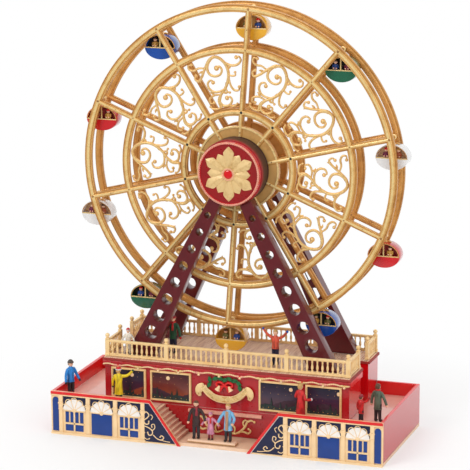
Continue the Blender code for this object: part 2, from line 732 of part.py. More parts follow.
def hub_housings():
    """Drums between the legs' heads, the two caps and the front cap's flower."""
    bore = AXLE_RADIUS + GAP
    back = FRONT_FACE_Y - RUNNING_GAP
    ring = [(DRUM_RADIUS, DRUM_FRONT_Y), (DRUM_RADIUS, back), (bore, back), (bore, DRUM_FRONT_Y)]
    turned_y("front_hub_drum", ring, 0, WHEEL_Z, maroon, closed=True)
    front, rear = REAR_FACE_Y + RUNNING_GAP, REAR_LEG_BACK_Y + GAP
    inner = DRUM_RADIUS - DRUM_WALL
    shell = [
        (DRUM_RADIUS, front), (DRUM_RADIUS, rear), (inner, rear), (inner, front + DRUM_WALL),
        (bore, front + DRUM_WALL), (bore, front),
    ]
    drum = turned_y("rear_hub_drum", shell, 0, WHEEL_Z, maroon, closed=True)
    slot = leg_outline(inner - CUT_OVERRUN, LEG_WALL, leg_edge_at_drum(-1, DRUM_RADIUS + LEG_WALL)[1])
    boolean(drum, to_mesh(standing_plate("drum_slot", [slot], BELT_Y - 2 * PULLEY_HALF_WIDTH, 4 * PULLEY_HALF_WIDTH)))
    cap_front = rear + GAP
    rod_y("rear_hub_cap", CAP_RADIUS, cap_front, cap_front + REAR_CAP_THICKNESS, 0, WHEEL_Z, red)
    rope = CAP_RADIUS - ROPE_RADIUS
    lip = CAP_FRONT_Y + ROPE_RADIUS
    cap = [
        (0, lip), (rope - ROPE_RADIUS, lip), (rope - ROPE_RADIUS / 2, CAP_FRONT_Y + ROPE_RADIUS / 3),
        (rope + ROPE_RADIUS / 2, CAP_FRONT_Y + ROPE_RADIUS / 3), (CAP_RADIUS, lip),
        (CAP_RADIUS, CAP_FRONT_Y + CAP_THICKNESS), (0, CAP_FRONT_Y + CAP_THICKNESS),
    ]
    turned_y("front_hub_cap", cap, 0, WHEEL_Z, red)
    flower = []
    for petal in range(PETALS):
        length = SHORT_PETAL if petal % 2 else LONG_PETAL
        turn = 2 * math.pi * petal / PETALS
        half = math.pi / PETALS
        for radius, offset in ((BOSS_RADIUS, -half), (length * 3 / 4, -half * 3 / 4), (length, 0.0),
                               (length * 3 / 4, half * 3 / 4)):
            angle = turn + offset
            flower.append((radius * math.sin(angle), WHEEL_Z + radius * math.cos(angle)))
    petals = standing_plate("petals", [flower[::-1]], lip - GAP - PETAL_THICKNESS, PETAL_THICKNESS)
    front = lip - GAP - PETAL_THICKNESS
    gem_back = front + PETAL_THICKNESS / 2
    gem = [
        (0, front - GEM_RADIUS / 2), (GEM_RADIUS * 2 / 3, front - GEM_RADIUS / 3),
        (GEM_RADIUS, gem_back), (0, gem_back),
    ]
    fuse("hub_flower", [petals, turned_y("gem", gem, 0, WHEEL_Z, sides=2 * SMALL_SIDES)], pale_gold)


# Wheel


def sector_hole(index, inner, outer, count):
    """One window of a wheel frame, between two spokes and two radii."""
    first, last = spoke_angle(index), spoke_angle(index + 1)
    points = []
    for radius, forward in ((outer, True), (inner, False)):
        lean = math.asin(SPOKE_WIDTH / 2 / radius)
        ends = (first + lean, last - lean) if forward else (last - lean, first + lean)
        for step in range(count + 1):
            angle = ends[0] + (ends[1] - ends[0]) * step / count
            points.append((radius * math.sin(angle), WHEEL_Z + radius * math.cos(angle)))
    return points


def wheel_frame(side, y, extras):
    """Three rings, ten spokes and a hub plate, moulded with whatever is cast on them."""
    half = RING_WIDTH / 2
    centre = (0, WHEEL_Z)
    outlines = [circle(centre, OUTER_RING_RADIUS + half, RING_SIDES), circle(centre, AXLE_RADIUS + GAP, HOLE_SIDES)]
    spans = (
        (HUB_PLATE_RADIUS, INNER_RING_RADIUS - half),
        (INNER_RING_RADIUS + half, MIDDLE_RING_RADIUS - half),
        (MIDDLE_RING_RADIUS + half, OUTER_RING_RADIUS - half),
    )
    for span, count in zip(spans, SECTOR_STEPS):
        outlines += [sector_hole(index, *span, count) for index in range(SPOKES)]
    frame = standing_plate("frame", outlines, y - RING_DEPTH / 2, RING_DEPTH)
    return fuse(f"{side}_wheel_frame", [frame] + extras, gold)


def rods_between(radius, place_radius, sides):
    """Rods from inside the rear frame up to the back of the front one."""
    front, back = FRAME_Y[0] + RING_DEPTH / 2 + GAP, FRAME_Y[1]
    rods = []
    for index in range(SPOKES):
        place = wheel_place(place_radius, spoke_angle(index))
        rods.append(rod_y("rod", radius, front, back, place.x, place.z, sides=sides))
    return rods


def wheel():
    wheel_frame("front", FRAME_Y[0], filigree())
    rods = rods_between(TIE_ROD_RADIUS, INNER_RING_RADIUS, POST_SIDES)
    wheel_frame("rear", FRAME_Y[1], rods + rods_between(PIN_RADIUS, OUTER_RING_RADIUS, POST_SIDES))


def band_outline(path, width):
    """The two sides of a flat band along a path."""
    left, right = [], []
    for index, point in enumerate(path):
        before = path[max(index - 1, 0)]
        after = path[min(index + 1, len(path) - 1)]
        along = (after - before).normalized()
        side = Vector((-along.y, along.x)) * width / 2
        left.append(point + side)
        right.append(point - side)
    return left + right[::-1]


def spiral(centre, wide, narrow, start, turns, steps):
    """Points that curl in about a centre."""
    points = []
    for step in range(steps + 1):
        share = step / steps
        radius = wide + (narrow - wide) * share
        angle = start + 2 * math.pi * turns * share
        points.append(Vector((centre[0] + radius * math.cos(angle), centre[1] + radius * math.sin(angle))))
    return points


def filigree():
    """In each sector of the front frame, a large scroll and a small one, grown out of its rings."""
    room = MIDDLE_RING_RADIUS - INNER_RING_RADIUS
    front = FRAME_Y[0] + SCROLL_DEPTH / 4
    bands = []
    large_radius = room * LARGE_SCROLL_SHARE
    large_centre = Vector((0, MIDDLE_RING_RADIUS - large_radius))
    small_radius = room * SMALL_SCROLL_SHARE
    small_centre = Vector((small_radius, INNER_RING_RADIUS + RING_WIDTH / 2 + small_radius))
    for index in range(SPOKES):
        angle = spoke_angle(index) + math.pi / SPOKES
        large = spiral(large_centre, large_radius, large_radius / 4, math.pi, -3 / 2, LARGE_SCROLL_STEPS)
        tail = [Vector((-INNER_RING_RADIUS * TAIL_SHARE, INNER_RING_RADIUS))]
        bend = Vector((large[0].x, (large[0].y + tail[0].y) / 2))
        small = spiral(small_centre, small_radius, small_radius / 3, -math.pi / 2, 5 / 4, SMALL_SCROLL_STEPS)
        stem = [Vector((small[0].x - small_radius, INNER_RING_RADIUS))]
        for path in (tail + [bend] + large, stem + small):
            outline = band_outline(path, SCROLL_WIDTH)
            turned_outline = []
            for point in outline:
                x = point.x * math.cos(angle) + point.y * math.sin(angle)
                z = WHEEL_Z - point.x * math.sin(angle) + point.y * math.cos(angle)
                turned_outline.append((x, z))
            bands.append(standing_plate("scroll", [turned_outline], front, SCROLL_DEPTH))
    return bands


def pulley_profile(radius, y):
    """Outline of a grooved pulley turned in one with its shaft, front to back."""
    groove = PULLEY_PITCH_RADIUS - BELT_RADIUS - GAP
    return [
        (radius, y - PULLEY_HALF_WIDTH), (PULLEY_FLANGE_RADIUS, y - PULLEY_HALF_WIDTH), (groove, y - BELT_RADIUS),
        (groove, y + BELT_RADIUS), (PULLEY_FLANGE_RADIUS, y + PULLEY_HALF_WIDTH), (radius, y + PULLEY_HALF_WIDTH),
    ]


def axle():
    front, back = DRUM_FRONT_Y + GAP, REAR_LEG_BACK_Y
    profile = [(0, front), (AXLE_RADIUS, front)] + pulley_profile(AXLE_RADIUS, BELT_Y)
    profile += [(AXLE_RADIUS, back), (0, back)]
    turned_y("axle", profile, 0, WHEEL_Z, steel, 2 * SMALL_SIDES)


# Gondolas


def half_ellipse(half_width, height, start, end, steps):
    turn = (end - start) / steps
    return [
        (half_width * math.cos(start + turn * step), -CAR_SILL + height * math.sin(start + turn * step))
        for step in range(steps + 1)
    ]


def gondola_pieces():
    """A car with a bowl, a round roof, two open windows, two riders, and the eye that it hangs by."""
    near_top = math.acos(CAR_NECK_HALF_WIDTH / CAR_HALF_WIDTH)
    lean = math.asin(CAR_NECK_HALF_WIDTH / CAR_BOSS_RADIUS)
    outline = half_ellipse(CAR_HALF_WIDTH, CAR_ROOF_HEIGHT, math.pi - near_top, math.pi, CAR_SIDES)
    outline += half_ellipse(CAR_HALF_WIDTH, CAR_BOWL_HEIGHT, math.pi, 2 * math.pi, 2 * CAR_SIDES)[1:]
    outline += half_ellipse(CAR_HALF_WIDTH, CAR_ROOF_HEIGHT, 0.0, near_top, CAR_SIDES)[1:]
    outline += arc((0, 0), CAR_BOSS_RADIUS, -math.pi / 2 + lean, 3 * math.pi / 2 - lean, CAR_SIDES)
    bore = circle((0, 0), PIN_RADIUS + GAP, SMALL_SIDES)
    wide, roof = CAR_HALF_WIDTH - CAR_WALL, CAR_ROOF_HEIGHT - CAR_WALL
    mullion = CAR_MULLION / 2
    start, end = math.asin(mullion / roof), math.acos(mullion / wide)
    window = [(mullion, -CAR_SILL + mullion)] + half_ellipse(wide, roof, start, end, CAR_SIDES)
    car = standing_plate("car", [outline, bore, window, mirrored(window)], -CAR_DEPTH / 2, CAR_DEPTH)
    riders = []
    seat = -CAR_SILL - CAR_WALL
    for sign in (-1, 1):
        top = seat + RIDER_HEIGHT
        profile = [
            (0, top), (RIDER_HEAD_RADIUS, top - RIDER_HEAD_RADIUS), (RIDER_HEAD_RADIUS / 2, top - 2 * RIDER_HEAD_RADIUS),
            (RIDER_RADIUS, (seat + top) / 2 - RIDER_HEAD_RADIUS / 2), (RIDER_RADIUS, seat), (0, seat),
        ]
        riders.append(turned("rider", profile, (sign * RIDER_SPACING, 0, 0), sides=POST_SIDES))
    return [car] + riders


def gondolas():
    pieces = gondola_pieces()
    for index in range(SPOKES):
        colour = CAR_COLOURS[index % len(CAR_COLOURS)]
        material = paint(f"car_{index % len(CAR_COLOURS)}", colour)
        if index == 0:
            bpy.context.view_layer.update()
            whole = fuse("gondola", pieces, material)
            bpy.context.view_layer.update()
            evaluated = whole.evaluated_get(bpy.context.evaluated_depsgraph_get())
            pattern = bpy.data.meshes.new_from_object(evaluated)
            pattern.transform(whole.matrix_world)
            bpy.data.objects.remove(whole)
        mesh = pattern.copy()
        mesh.materials.clear()
        car = link(f"gondola_{index + 1}", mesh, material)
        car.location = wheel_place(OUTER_RING_RADIUS, spoke_angle(index))


# Crank drive


def gear_outline(teeth, centre, phase):
    """Straight-sided teeth with a little play."""
    pitch = GEAR_MODULE * teeth / 2
    tip, root = pitch + GEAR_MODULE * TOOTH_TIP_SHARE, pitch - GEAR_MODULE * TOOTH_ROOT_SHARE
    step = 2 * math.pi / teeth
    points = []
    for tooth in range(teeth):
        middle = phase + step * tooth
        for radius, share in ((root, -TOOTH_FOOT_SHARE), (tip, -TOOTH_HEAD_SHARE), (tip, TOOTH_HEAD_SHARE),
                              (root, TOOTH_FOOT_SHARE)):
            angle = middle + share * step
            points.append((centre[0] + radius * math.cos(angle), centre[1] + radius * math.sin(angle)))
    return points


def gear(name, teeth, x, phase, bore, material):
    outlines = [gear_outline(teeth, (x, DRIVE_SHAFT_Z), phase), circle((x, DRIVE_SHAFT_Z), bore, 2 * SMALL_SIDES)]
    return standing_plate(name, outlines, GEAR_FRONT_Y, GEAR_THICKNESS, material)


def drive():
    plate_back = BEARING_PLATE_Y + BEARING_PLATE_THICKNESS
    margin = BEARING_PLATE_MARGIN
    holes = [
        circle((DRIVE_SHAFT_X, DRIVE_SHAFT_Z), DRIVE_SHAFT_RADIUS + GAP, 2 * SMALL_SIDES),
        circle((CRANK_X, DRIVE_SHAFT_Z), CRANK_WIRE_RADIUS + GAP, 2 * SMALL_SIDES),
    ]
    plate = rectangle((CRANK_X - margin, TERRACE_Z + GAP), (DRIVE_SHAFT_X + margin, HOUSE_TOP_Z - GAP))
    standing_plate("bearing_plate", [plate] + holes, BEARING_PLATE_Y, BEARING_PLATE_THICKNESS, steel)
    shaft_back = HALF_DEPTH - HOUSE_WALL + SHAFT_SEAT
    profile = [(0, BEARING_PLATE_Y), (DRIVE_SHAFT_RADIUS, BEARING_PLATE_Y)]
    profile += pulley_profile(DRIVE_SHAFT_RADIUS, BELT_Y)
    profile += [(DRIVE_SHAFT_RADIUS, shaft_back), (0, shaft_back)]
    turned_y("drive_shaft", profile, DRIVE_SHAFT_X, DRIVE_SHAFT_Z, steel, 2 * SMALL_SIDES)
    gear("drive_gear", GEAR_TEETH, DRIVE_SHAFT_X, math.pi, DRIVE_SHAFT_RADIUS + GAP, pale_gold)
    gear("crank_pinion", PINION_TEETH, CRANK_X, math.pi / PINION_TEETH, CRANK_WIRE_RADIUS + GAP, pale_gold)
    span = Vector((DRIVE_SHAFT_X, WHEEL_Z - DRIVE_SHAFT_Z))
    lean = math.atan2(span.x, span.y)
    loop = []
    for centre, start in (((0, WHEEL_Z), lean), ((DRIVE_SHAFT_X, DRIVE_SHAFT_Z), math.pi + lean)):
        for x, z in arc(centre, PULLEY_PITCH_RADIUS, start, start + math.pi, SMALL_SIDES):
            loop.append((x, BELT_Y, z))
    tube("drive_belt", loop, BELT_RADIUS, dark, cyclic=True)
    wire = [(CRANK_X, plate_back - BEARING_PLATE_THICKNESS, DRIVE_SHAFT_Z)]
    pin_z = DRIVE_SHAFT_Z - CRANK_ARM
    wire += bend((CRANK_ARM_Y, DRIVE_SHAFT_Z), (-1, 0), (0, -1))
    wire += bend((CRANK_ARM_Y, pin_z), (0, 1), (1, 0))
    wire.append((CRANK_X, CRANK_ARM_Y + CRANK_PIN, pin_z))
    tube("crank_wire", wire, CRANK_WIRE_RADIUS, steel, resolution=2)
    bore = CRANK_WIRE_RADIUS + GAP
    knob_front = CRANK_ARM_Y + CRANK_BEND + GAP
    knob_back = knob_front + KNOB_LENGTH
    pin_end = CRANK_ARM_Y + CRANK_PIN + GAP
    knob = [
        (0, pin_end), (bore, pin_end), (bore, knob_front), (KNOB_RADIUS * 3 / 5, knob_front),
        (KNOB_RADIUS * 3 / 4, knob_front + KNOB_LENGTH / 4), (KNOB_RADIUS, knob_front + KNOB_LENGTH * 2 / 3),
        (KNOB_RADIUS * 3 / 4, knob_back), (0, knob_back),
    ]
    turned_y("crank_knob", knob, CRANK_X, pin_z, red, 2 * SMALL_SIDES)


def bend(corner, before, after):
    """A rounded corner of the crank wire, in Y and Z."""
    points = []
    for step in range(BEND_STEPS + 1):
        share = step / BEND_STEPS
        away = CRANK_BEND * (1 - share) ** 2
        along = CRANK_BEND * share ** 2
        y = corner[0] + before[0] * away + after[0] * along
        z = corner[1] + before[1] * away + after[1] * along
        points.append((CRANK_X, y, z))
    return points


# People


def person(name, x, y, foot_z, height):
    girth = PERSON_GIRTH * height / PERSON_HEIGHT
    profile = [(girth * wide, height * high) for wide, high in PERSON_SHARES]
    return turned(name, profile, (x, y, foot_z + GAP), cream, sides=SMALL_SIDES)


def people():
    """Simple standing figures, moulded together where they stand close."""
    for name, floor, (x, y, height) in PEOPLE:
        person(name, x, y, floor, height)
    low = PLATE_THICKNESS + GAP
    plinth = box("plinth", (PLINTH_X - PLINTH_WIDTH / 2, PLINTH_Y - PLINTH_DEPTH / 2, low),
                 (PLINTH_X + PLINTH_WIDTH / 2, PLINTH_Y + PLINTH_DEPTH / 2, low + PLINTH_HEIGHT))
    trio = [person("figure", x, PLINTH_Y, low + PLINTH_HEIGHT / 2, height) for x, height in TRIO]
    fuse("court_family", [plinth] + trio, cream, True)
    (child_x, child_y), (man_x, man_y) = PAIR
    pair = [person("figure", child_x, child_y, TERRACE_Z, CHILD_HEIGHT),
            person("figure", man_x, man_y, TERRACE_Z, PERSON_HEIGHT)]
    hand_z = TERRACE_Z + CHILD_HEIGHT * 2 / 3
    pair.append(tube("arms", [(child_x, child_y, hand_z), (man_x, man_y, hand_z)], PERSON_GIRTH / 4))
    fuse("right_terrace_pair", pair, cream, True)


base_plate()
base_tray()
facades()
stairs()
house()
pictures()
ribbon()
railings()
legs()
hub_housings()
wheel()
axle()
gondolas()
drive()
people()
bpy.context.view_layer.update()
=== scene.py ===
"""Looks of a table-top ferris wheel with a hand crank. Millimetres, +Z up, its front towards -Y."""

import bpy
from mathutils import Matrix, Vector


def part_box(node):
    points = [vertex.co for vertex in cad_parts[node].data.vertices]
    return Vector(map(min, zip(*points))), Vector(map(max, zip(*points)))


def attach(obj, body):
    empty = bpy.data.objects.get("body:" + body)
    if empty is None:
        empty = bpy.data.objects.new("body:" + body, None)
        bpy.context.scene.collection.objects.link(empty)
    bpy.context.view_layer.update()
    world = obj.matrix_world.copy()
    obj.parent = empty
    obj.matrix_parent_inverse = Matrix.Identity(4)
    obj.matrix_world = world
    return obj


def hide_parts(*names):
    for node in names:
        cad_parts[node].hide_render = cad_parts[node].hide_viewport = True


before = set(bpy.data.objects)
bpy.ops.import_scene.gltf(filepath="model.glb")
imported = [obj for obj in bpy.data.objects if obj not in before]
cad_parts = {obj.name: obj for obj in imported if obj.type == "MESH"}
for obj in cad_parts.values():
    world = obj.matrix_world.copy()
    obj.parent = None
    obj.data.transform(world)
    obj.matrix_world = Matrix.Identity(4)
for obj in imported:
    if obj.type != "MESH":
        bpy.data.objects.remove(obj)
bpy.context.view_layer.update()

import math

import bmesh
import bpy
from mathutils import Matrix, Vector

# Objects are made in metres from sizes in millimetres
MM = 0.001
# The gap between a piece and what carries it
SEAT = 0.3

# Base and house
HALF_WIDTH = 160.3
HALF_DEPTH = 65.2
BASE_HEIGHT = 41.3
TERRACE_Z = 28.7
HOUSE_HALF_WIDTH = 119
HOUSE_FRONT_Y = -30.5
NOTCH_FRONT_Y, NOTCH_BACK_Y, NOTCH_DEPTH = 7.2, 32.5, 13
DECK_TOP_Z = 69.2
DECK_THICKNESS = 3
RAIL_TOP_Z, POST_TOP_Z, RAIL_INSET = 85.2, 91.3, 2.7

# Wheel
WHEEL_Y, WHEEL_Z = 21.8, 248.5
WHEEL_TURN = math.radians(4.13)
SPOKES = 10
OUTER_RING, MIDDLE_RING, INNER_RING = 148, 110.2, 52.7
RING_HALF_WIDTH, FRAME_HALF_DEPTH, SPOKE_HALF_WIDTH = 3.5, 3, 2.6
FRONT_FRAME_Y, REAR_FRAME_Y = WHEEL_Y - 12.9, WHEEL_Y + 12.9
DRUM_RADIUS, CAP_RADIUS, CAP_FRONT_Y, REAR_CAP_Y = 30.7, 29.6, -21.4, 62.2

# The photograph's camera, in metres
CAMERA_AZIMUTH, CAMERA_ELEVATION = math.radians(18.893), math.radians(13.169)
CAMERA_ROLL = math.radians(-0.188)
CAMERA_DISTANCE = 2.238
CAMERA_TARGET = Vector((-0.0004, 0, 0.1876))
CAMERA_LENS = 186.06
# How bright the room in front is in glossy surfaces
DIM_ROOM = 0.22


# Finishes


class Value:
    """A node's output. Sums on it add Math nodes."""

    def __init__(self, finish, socket):
        self.finish, self.socket = finish, socket

    def math(self, operation, first, second):
        return self.finish.node("ShaderNodeMath", {"operation": operation}, {0: first, 1: second})

    def __add__(self, other):
        return self.math("ADD", self, other)

    def __mul__(self, other):
        return self.math("MULTIPLY", self, other)

    def __sub__(self, other):
        return self.math("SUBTRACT", self, other)

    def __rsub__(self, other):
        return self.math("SUBTRACT", other, self)

    __radd__, __rmul__ = __add__, __mul__


class Nodes:
    """Builds up a node tree."""

    def __init__(self, tree):
        self.tree = tree

    def node(self, kind, settings=(), sockets=(), output=0):
        made = self.tree.nodes.new(kind)
        settings = dict(settings)
        for place, (stop, colour) in enumerate(settings.pop("stops", ())):
            elements = made.color_ramp.elements
            element = elements[place] if place < 2 else elements.new(stop)
            element.position, element.color = stop, (*colour, 1.0)
        for name, value in settings.items():
            setattr(made, name, value)
        for name, value in dict(sockets).items():
            self.plug(value, made.inputs[name])
        return Value(self, made.outputs[output])

    def plug(self, value, socket):
        if isinstance(value, Value):
            self.tree.links.new(value.socket, socket)
        else:
            socket.default_value = value

    def place(self):
        """The point of the surface, in metres."""
        return self.node("ShaderNodeTexCoord", output=3)

    def axes(self):
        """The point's x, y and z in millimetres."""
        split = self.node("ShaderNodeSeparateXYZ", sockets={0: self.place()})
        return [Value(self, output) * (1 / MM) for output in split.socket.node.outputs]

    def noise(self, size, detail=3.0, stretch=(1, 1, 1)):
        """Soft spots about as wide as the size, from 0 to 1."""
        scaled = self.node("ShaderNodeVectorMath", {"operation": "MULTIPLY"}, {0: self.place(), 1: stretch})
        sockets = {"Vector": scaled, "Scale": 1 / (size * MM), "Detail": detail}
        return self.node("ShaderNodeTexNoise", sockets=sockets)

    def ramp(self, value, *stops):
        return self.node("ShaderNodeValToRGB", {"stops": stops}, {0: value})

    def between(self, value, low, high, first, last):
        return self.node("ShaderNodeMapRange", sockets={0: value, 1: low, 2: high, 3: first, 4: last})


class Finish(Nodes):
    """A material about one Principled shader."""

    def __init__(self, name, colour, roughness=0.4, metallic=0.0, coat=0.0):
        self.material = bpy.data.materials.new(name)
        self.material.use_nodes = True
        super().__init__(self.material.node_tree)
        self.shader = self.tree.nodes["Principled BSDF"]
        for socket, value in (("Base Color", (*colour, 1.0)), ("Roughness", roughness),
                              ("Metallic", metallic), ("Coat Weight", coat), ("Coat Roughness", 0.06)):
            self.shader.inputs[socket].default_value = value

    def feed(self, name, value):
        self.plug(value, self.shader.inputs[name])
        return self

    def bump(self, height, depth, strength=1.0):
        sockets = {"Height": height, "Distance": depth * MM, "Strength": strength}
        normal = self.node("ShaderNodeBump", sockets=sockets)
        return self.feed("Normal", normal)


def shade(colour, share):
    return tuple(part * share for part in colour)


def painted(name, colour, roughness=0.36, coat=0.25, tone=0.86, spots=9, metallic=0.0):
    """Brushed-on paint: slow changes of tone, a faint orange-peel skin and duller patches."""
    finish = Finish(name, colour, roughness, metallic, coat)
    slow = finish.noise(spots)
    finish.feed("Base Color", finish.ramp(slow, (0.32, shade(colour, tone)), (0.62, colour)))
    finish.feed("Roughness", finish.noise(spots / 3) * 0.18 + (roughness - 0.09))
    return finish.bump(finish.noise(1.6, 2.0), 0.05, 0.5)


def gilded(name, light, dark, roughness=0.34, metallic=0.3, wear=5):
    """Gold paint over a brown ground that shows through where it is thin."""
    finish = Finish(name, light, roughness, metallic, 0.2)
    slow, fine = finish.noise(wear * 4), finish.noise(wear, 4.0)
    finish.feed("Base Color", finish.ramp(slow * 0.6 + fine * 0.4, (0.30, dark), (0.52, light)))
    finish.feed("Roughness", fine * 0.25 + (roughness - 0.1))
    return finish.bump(finish.noise(1.3, 2.0), 0.04, 0.5)


GOLD = gilded("antique_gold", (0.80, 0.46, 0.145), (0.64, 0.33, 0.085))
# A brighter gold: plain bright gold on the ribbon, sills and wall scrolls, and painted highlight on the
# mouldings' bars, the scroll stems and balls and the ribbon's folds
BRIGHT_GOLD_AND_HIGHLIGHT = gilded("bright_gold_and_highlight", (0.95, 0.70, 0.31), (0.84, 0.54, 0.20), 0.26)
# A darker gold painted as shade on the mouldings' bevels, sides and second flange
GOLD_EDGE_SHADE = gilded("gold_edge_shade", (0.62, 0.30, 0.07), (0.46, 0.19, 0.04), 0.42)
# A dark gold painted as shade, on the frames' dots and in the middle of the ribbon's folds
GOLD_SHADE = gilded("gold_shade", (0.42, 0.20, 0.06), (0.27, 0.11, 0.03), 0.45)
REAR_GOLD = gilded("rear_gold", (0.74, 0.37, 0.10), (0.56, 0.25, 0.055))
HUB_GOLD = gilded("hub_gold", (0.74, 0.41, 0.13), (0.57, 0.28, 0.08), 0.42)
SCROLL_GOLD = gilded("scroll_gold", (0.86, 0.52, 0.18), (0.62, 0.30, 0.075), 0.3, 0.3, 2.2)
CREAM_GOLD = gilded("cream_gold", (0.94, 0.67, 0.32), (0.84, 0.52, 0.20), 0.42, 0.1)
# A darker cream, for the window rims of the yellow and white cars and the family plinth's foot
DARK_CREAM = gilded("dark_cream", (0.50, 0.27, 0.11), (0.36, 0.16, 0.06), 0.5, 0.1)
PETAL_GOLD = gilded("petal_gold", (0.80, 0.56, 0.25), (0.62, 0.39, 0.14), 0.36, 0.15, 2.4)
MAROON = painted("maroon_paint", (0.125, 0.007, 0.011), 0.32, 0.35)
# Near-black brown painted as the shade inside the drum
DRUM_SHADE_BROWN = painted("drum_shade_brown", (0.055, 0.012, 0.010), 0.4, 0.2)
# A darker red painted as shade on front-facing and low inner faces of the red walls
HOUSE_RED_SHADED = painted("house_red_shaded", (0.47, 0.008, 0.013), 0.3, 0.5)
TRIM_RED = painted("trim_red", (0.78, 0.012, 0.012), 0.32, 0.4, 0.92)
TRAY_RED = painted("tray_red", (0.66, 0.004, 0.008), 0.2, 1.0, 0.95)
CAP_RED = painted("cap_red", (0.32, 0.003, 0.005), 0.3, 0.35)
# A brighter red painted as the light on the cap's glossy side and rim
CAP_SIDE_LIT = painted("cap_side_lit", (0.62, 0.012, 0.02), 0.22, 1.0, 0.95)
GEM_RED = painted("gem_red", (0.66, 0.004, 0.008), 0.1, 1.0, 0.9)
ROSE_CREAM = painted("rose_cream", (0.92, 0.42, 0.30), 0.42, 0.2, 0.8, 2)
CREAM = painted("cream_paint", (0.94, 0.66, 0.36), 0.45, 0.15, 0.92)
WHITE = painted("white_paint", (0.92, 0.86, 0.80), 0.4, 0.3, 0.9, 3)
FLOOR_CREAM = painted("floor_cream", (0.88, 0.50, 0.40), 0.35, 0.5, 0.94)
STAIR_CREAM = painted("stair_cream", (0.92, 0.62, 0.42), 0.45, 0.2, 0.9)
# A brown painted as shade on the steps' risers and sides
STAIR_RISER_SHADE = painted("stair_riser_shade", (0.62, 0.26, 0.18), 0.5, 0.1, 0.85)
BLUE = painted("panel_blue", (0.003, 0.045, 0.26), 0.4, 0.2, 0.88)
NAVY = painted("navy", (0.008, 0.012, 0.06), 0.45, 0.15, 0.8)
LEAF_GREEN = painted("leaf_green", (0.012, 0.17, 0.045), 0.38, 0.3, 0.6, 2)
BLACK = painted("black_plastic", (0.02, 0.018, 0.018), 0.5, 0.1)
RUBBER = painted("belt_rubber", (0.03, 0.03, 0.03), 0.75, 0.0)
STEEL = painted("steel", (0.55, 0.55, 0.57), 0.3, 0.0, 0.85, 3, 1.0)


def planked():
    """Cream deck boards that run front to back, with a brown line between them."""
    finish = Finish("deck_boards", (0.86, 0.62, 0.45), 0.42, 0.0, 0.25)
    streaks = finish.noise(1.4, 4.0, (1, 0.06, 1))
    finish.feed("Base Color", finish.ramp(streaks, (0.34, (0.62, 0.34, 0.22)), (0.58, (0.91, 0.66, 0.47))))
    return finish.bump(streaks, 0.08, 0.5)


def drum_shade():
    """The cap's red at the drum's front, which darkens to maroon brown towards the wheel as painted shade
    between the frames.
    """
    finish = Finish("drum_shade", (0.3, 0.01, 0.01), 0.5, 0.0, 0.1)
    depth = finish.between(finish.axes()[1] + finish.noise(6) * 3, -13, -3, 0.0, 1.0)
    finish.feed("Base Color", finish.ramp(depth, (0.0, (0.40, 0.008, 0.012)), (0.55, (0.09, 0.010, 0.010)),
                                          (1.0, (0.045, 0.010, 0.008))))
    return finish.bump(finish.noise(1.6, 2.0), 0.05, 0.5)


DRUM_SHADE = drum_shade()
DECK_BOARD = planked()
DECK_GROOVE = painted("deck_groove", (0.36, 0.035, 0.025), 0.6, 0.0, 0.8, 3)


# Shapes


def turns(steps, more=0):
    """Equal steps about a circle, in radians. One more closes it."""
    return [2 * math.pi * step / steps for step in range(steps + more)]


def upright(points, y, side=1):
    """Points of a drawing in X and Z, stood up at a depth. A side of -1 mirrors it."""
    return [Vector((side * x, y, z)) for x, z in points]


def set_out(name, mesh, finishes, angle, body, nodes):
    """Puts a mesh in the scene, rides it on a body and lets it stand for CAD nodes."""
    for finish in finishes:
        mesh.materials.append(finish.material)
    mesh.shade_smooth()
    mesh.set_sharp_from_angle(angle=math.radians(angle))
    item = bpy.data.objects.new(name, mesh)
    bpy.context.scene.collection.objects.link(item)
    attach(item, body)
    if nodes:
        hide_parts(*nodes)
    return item


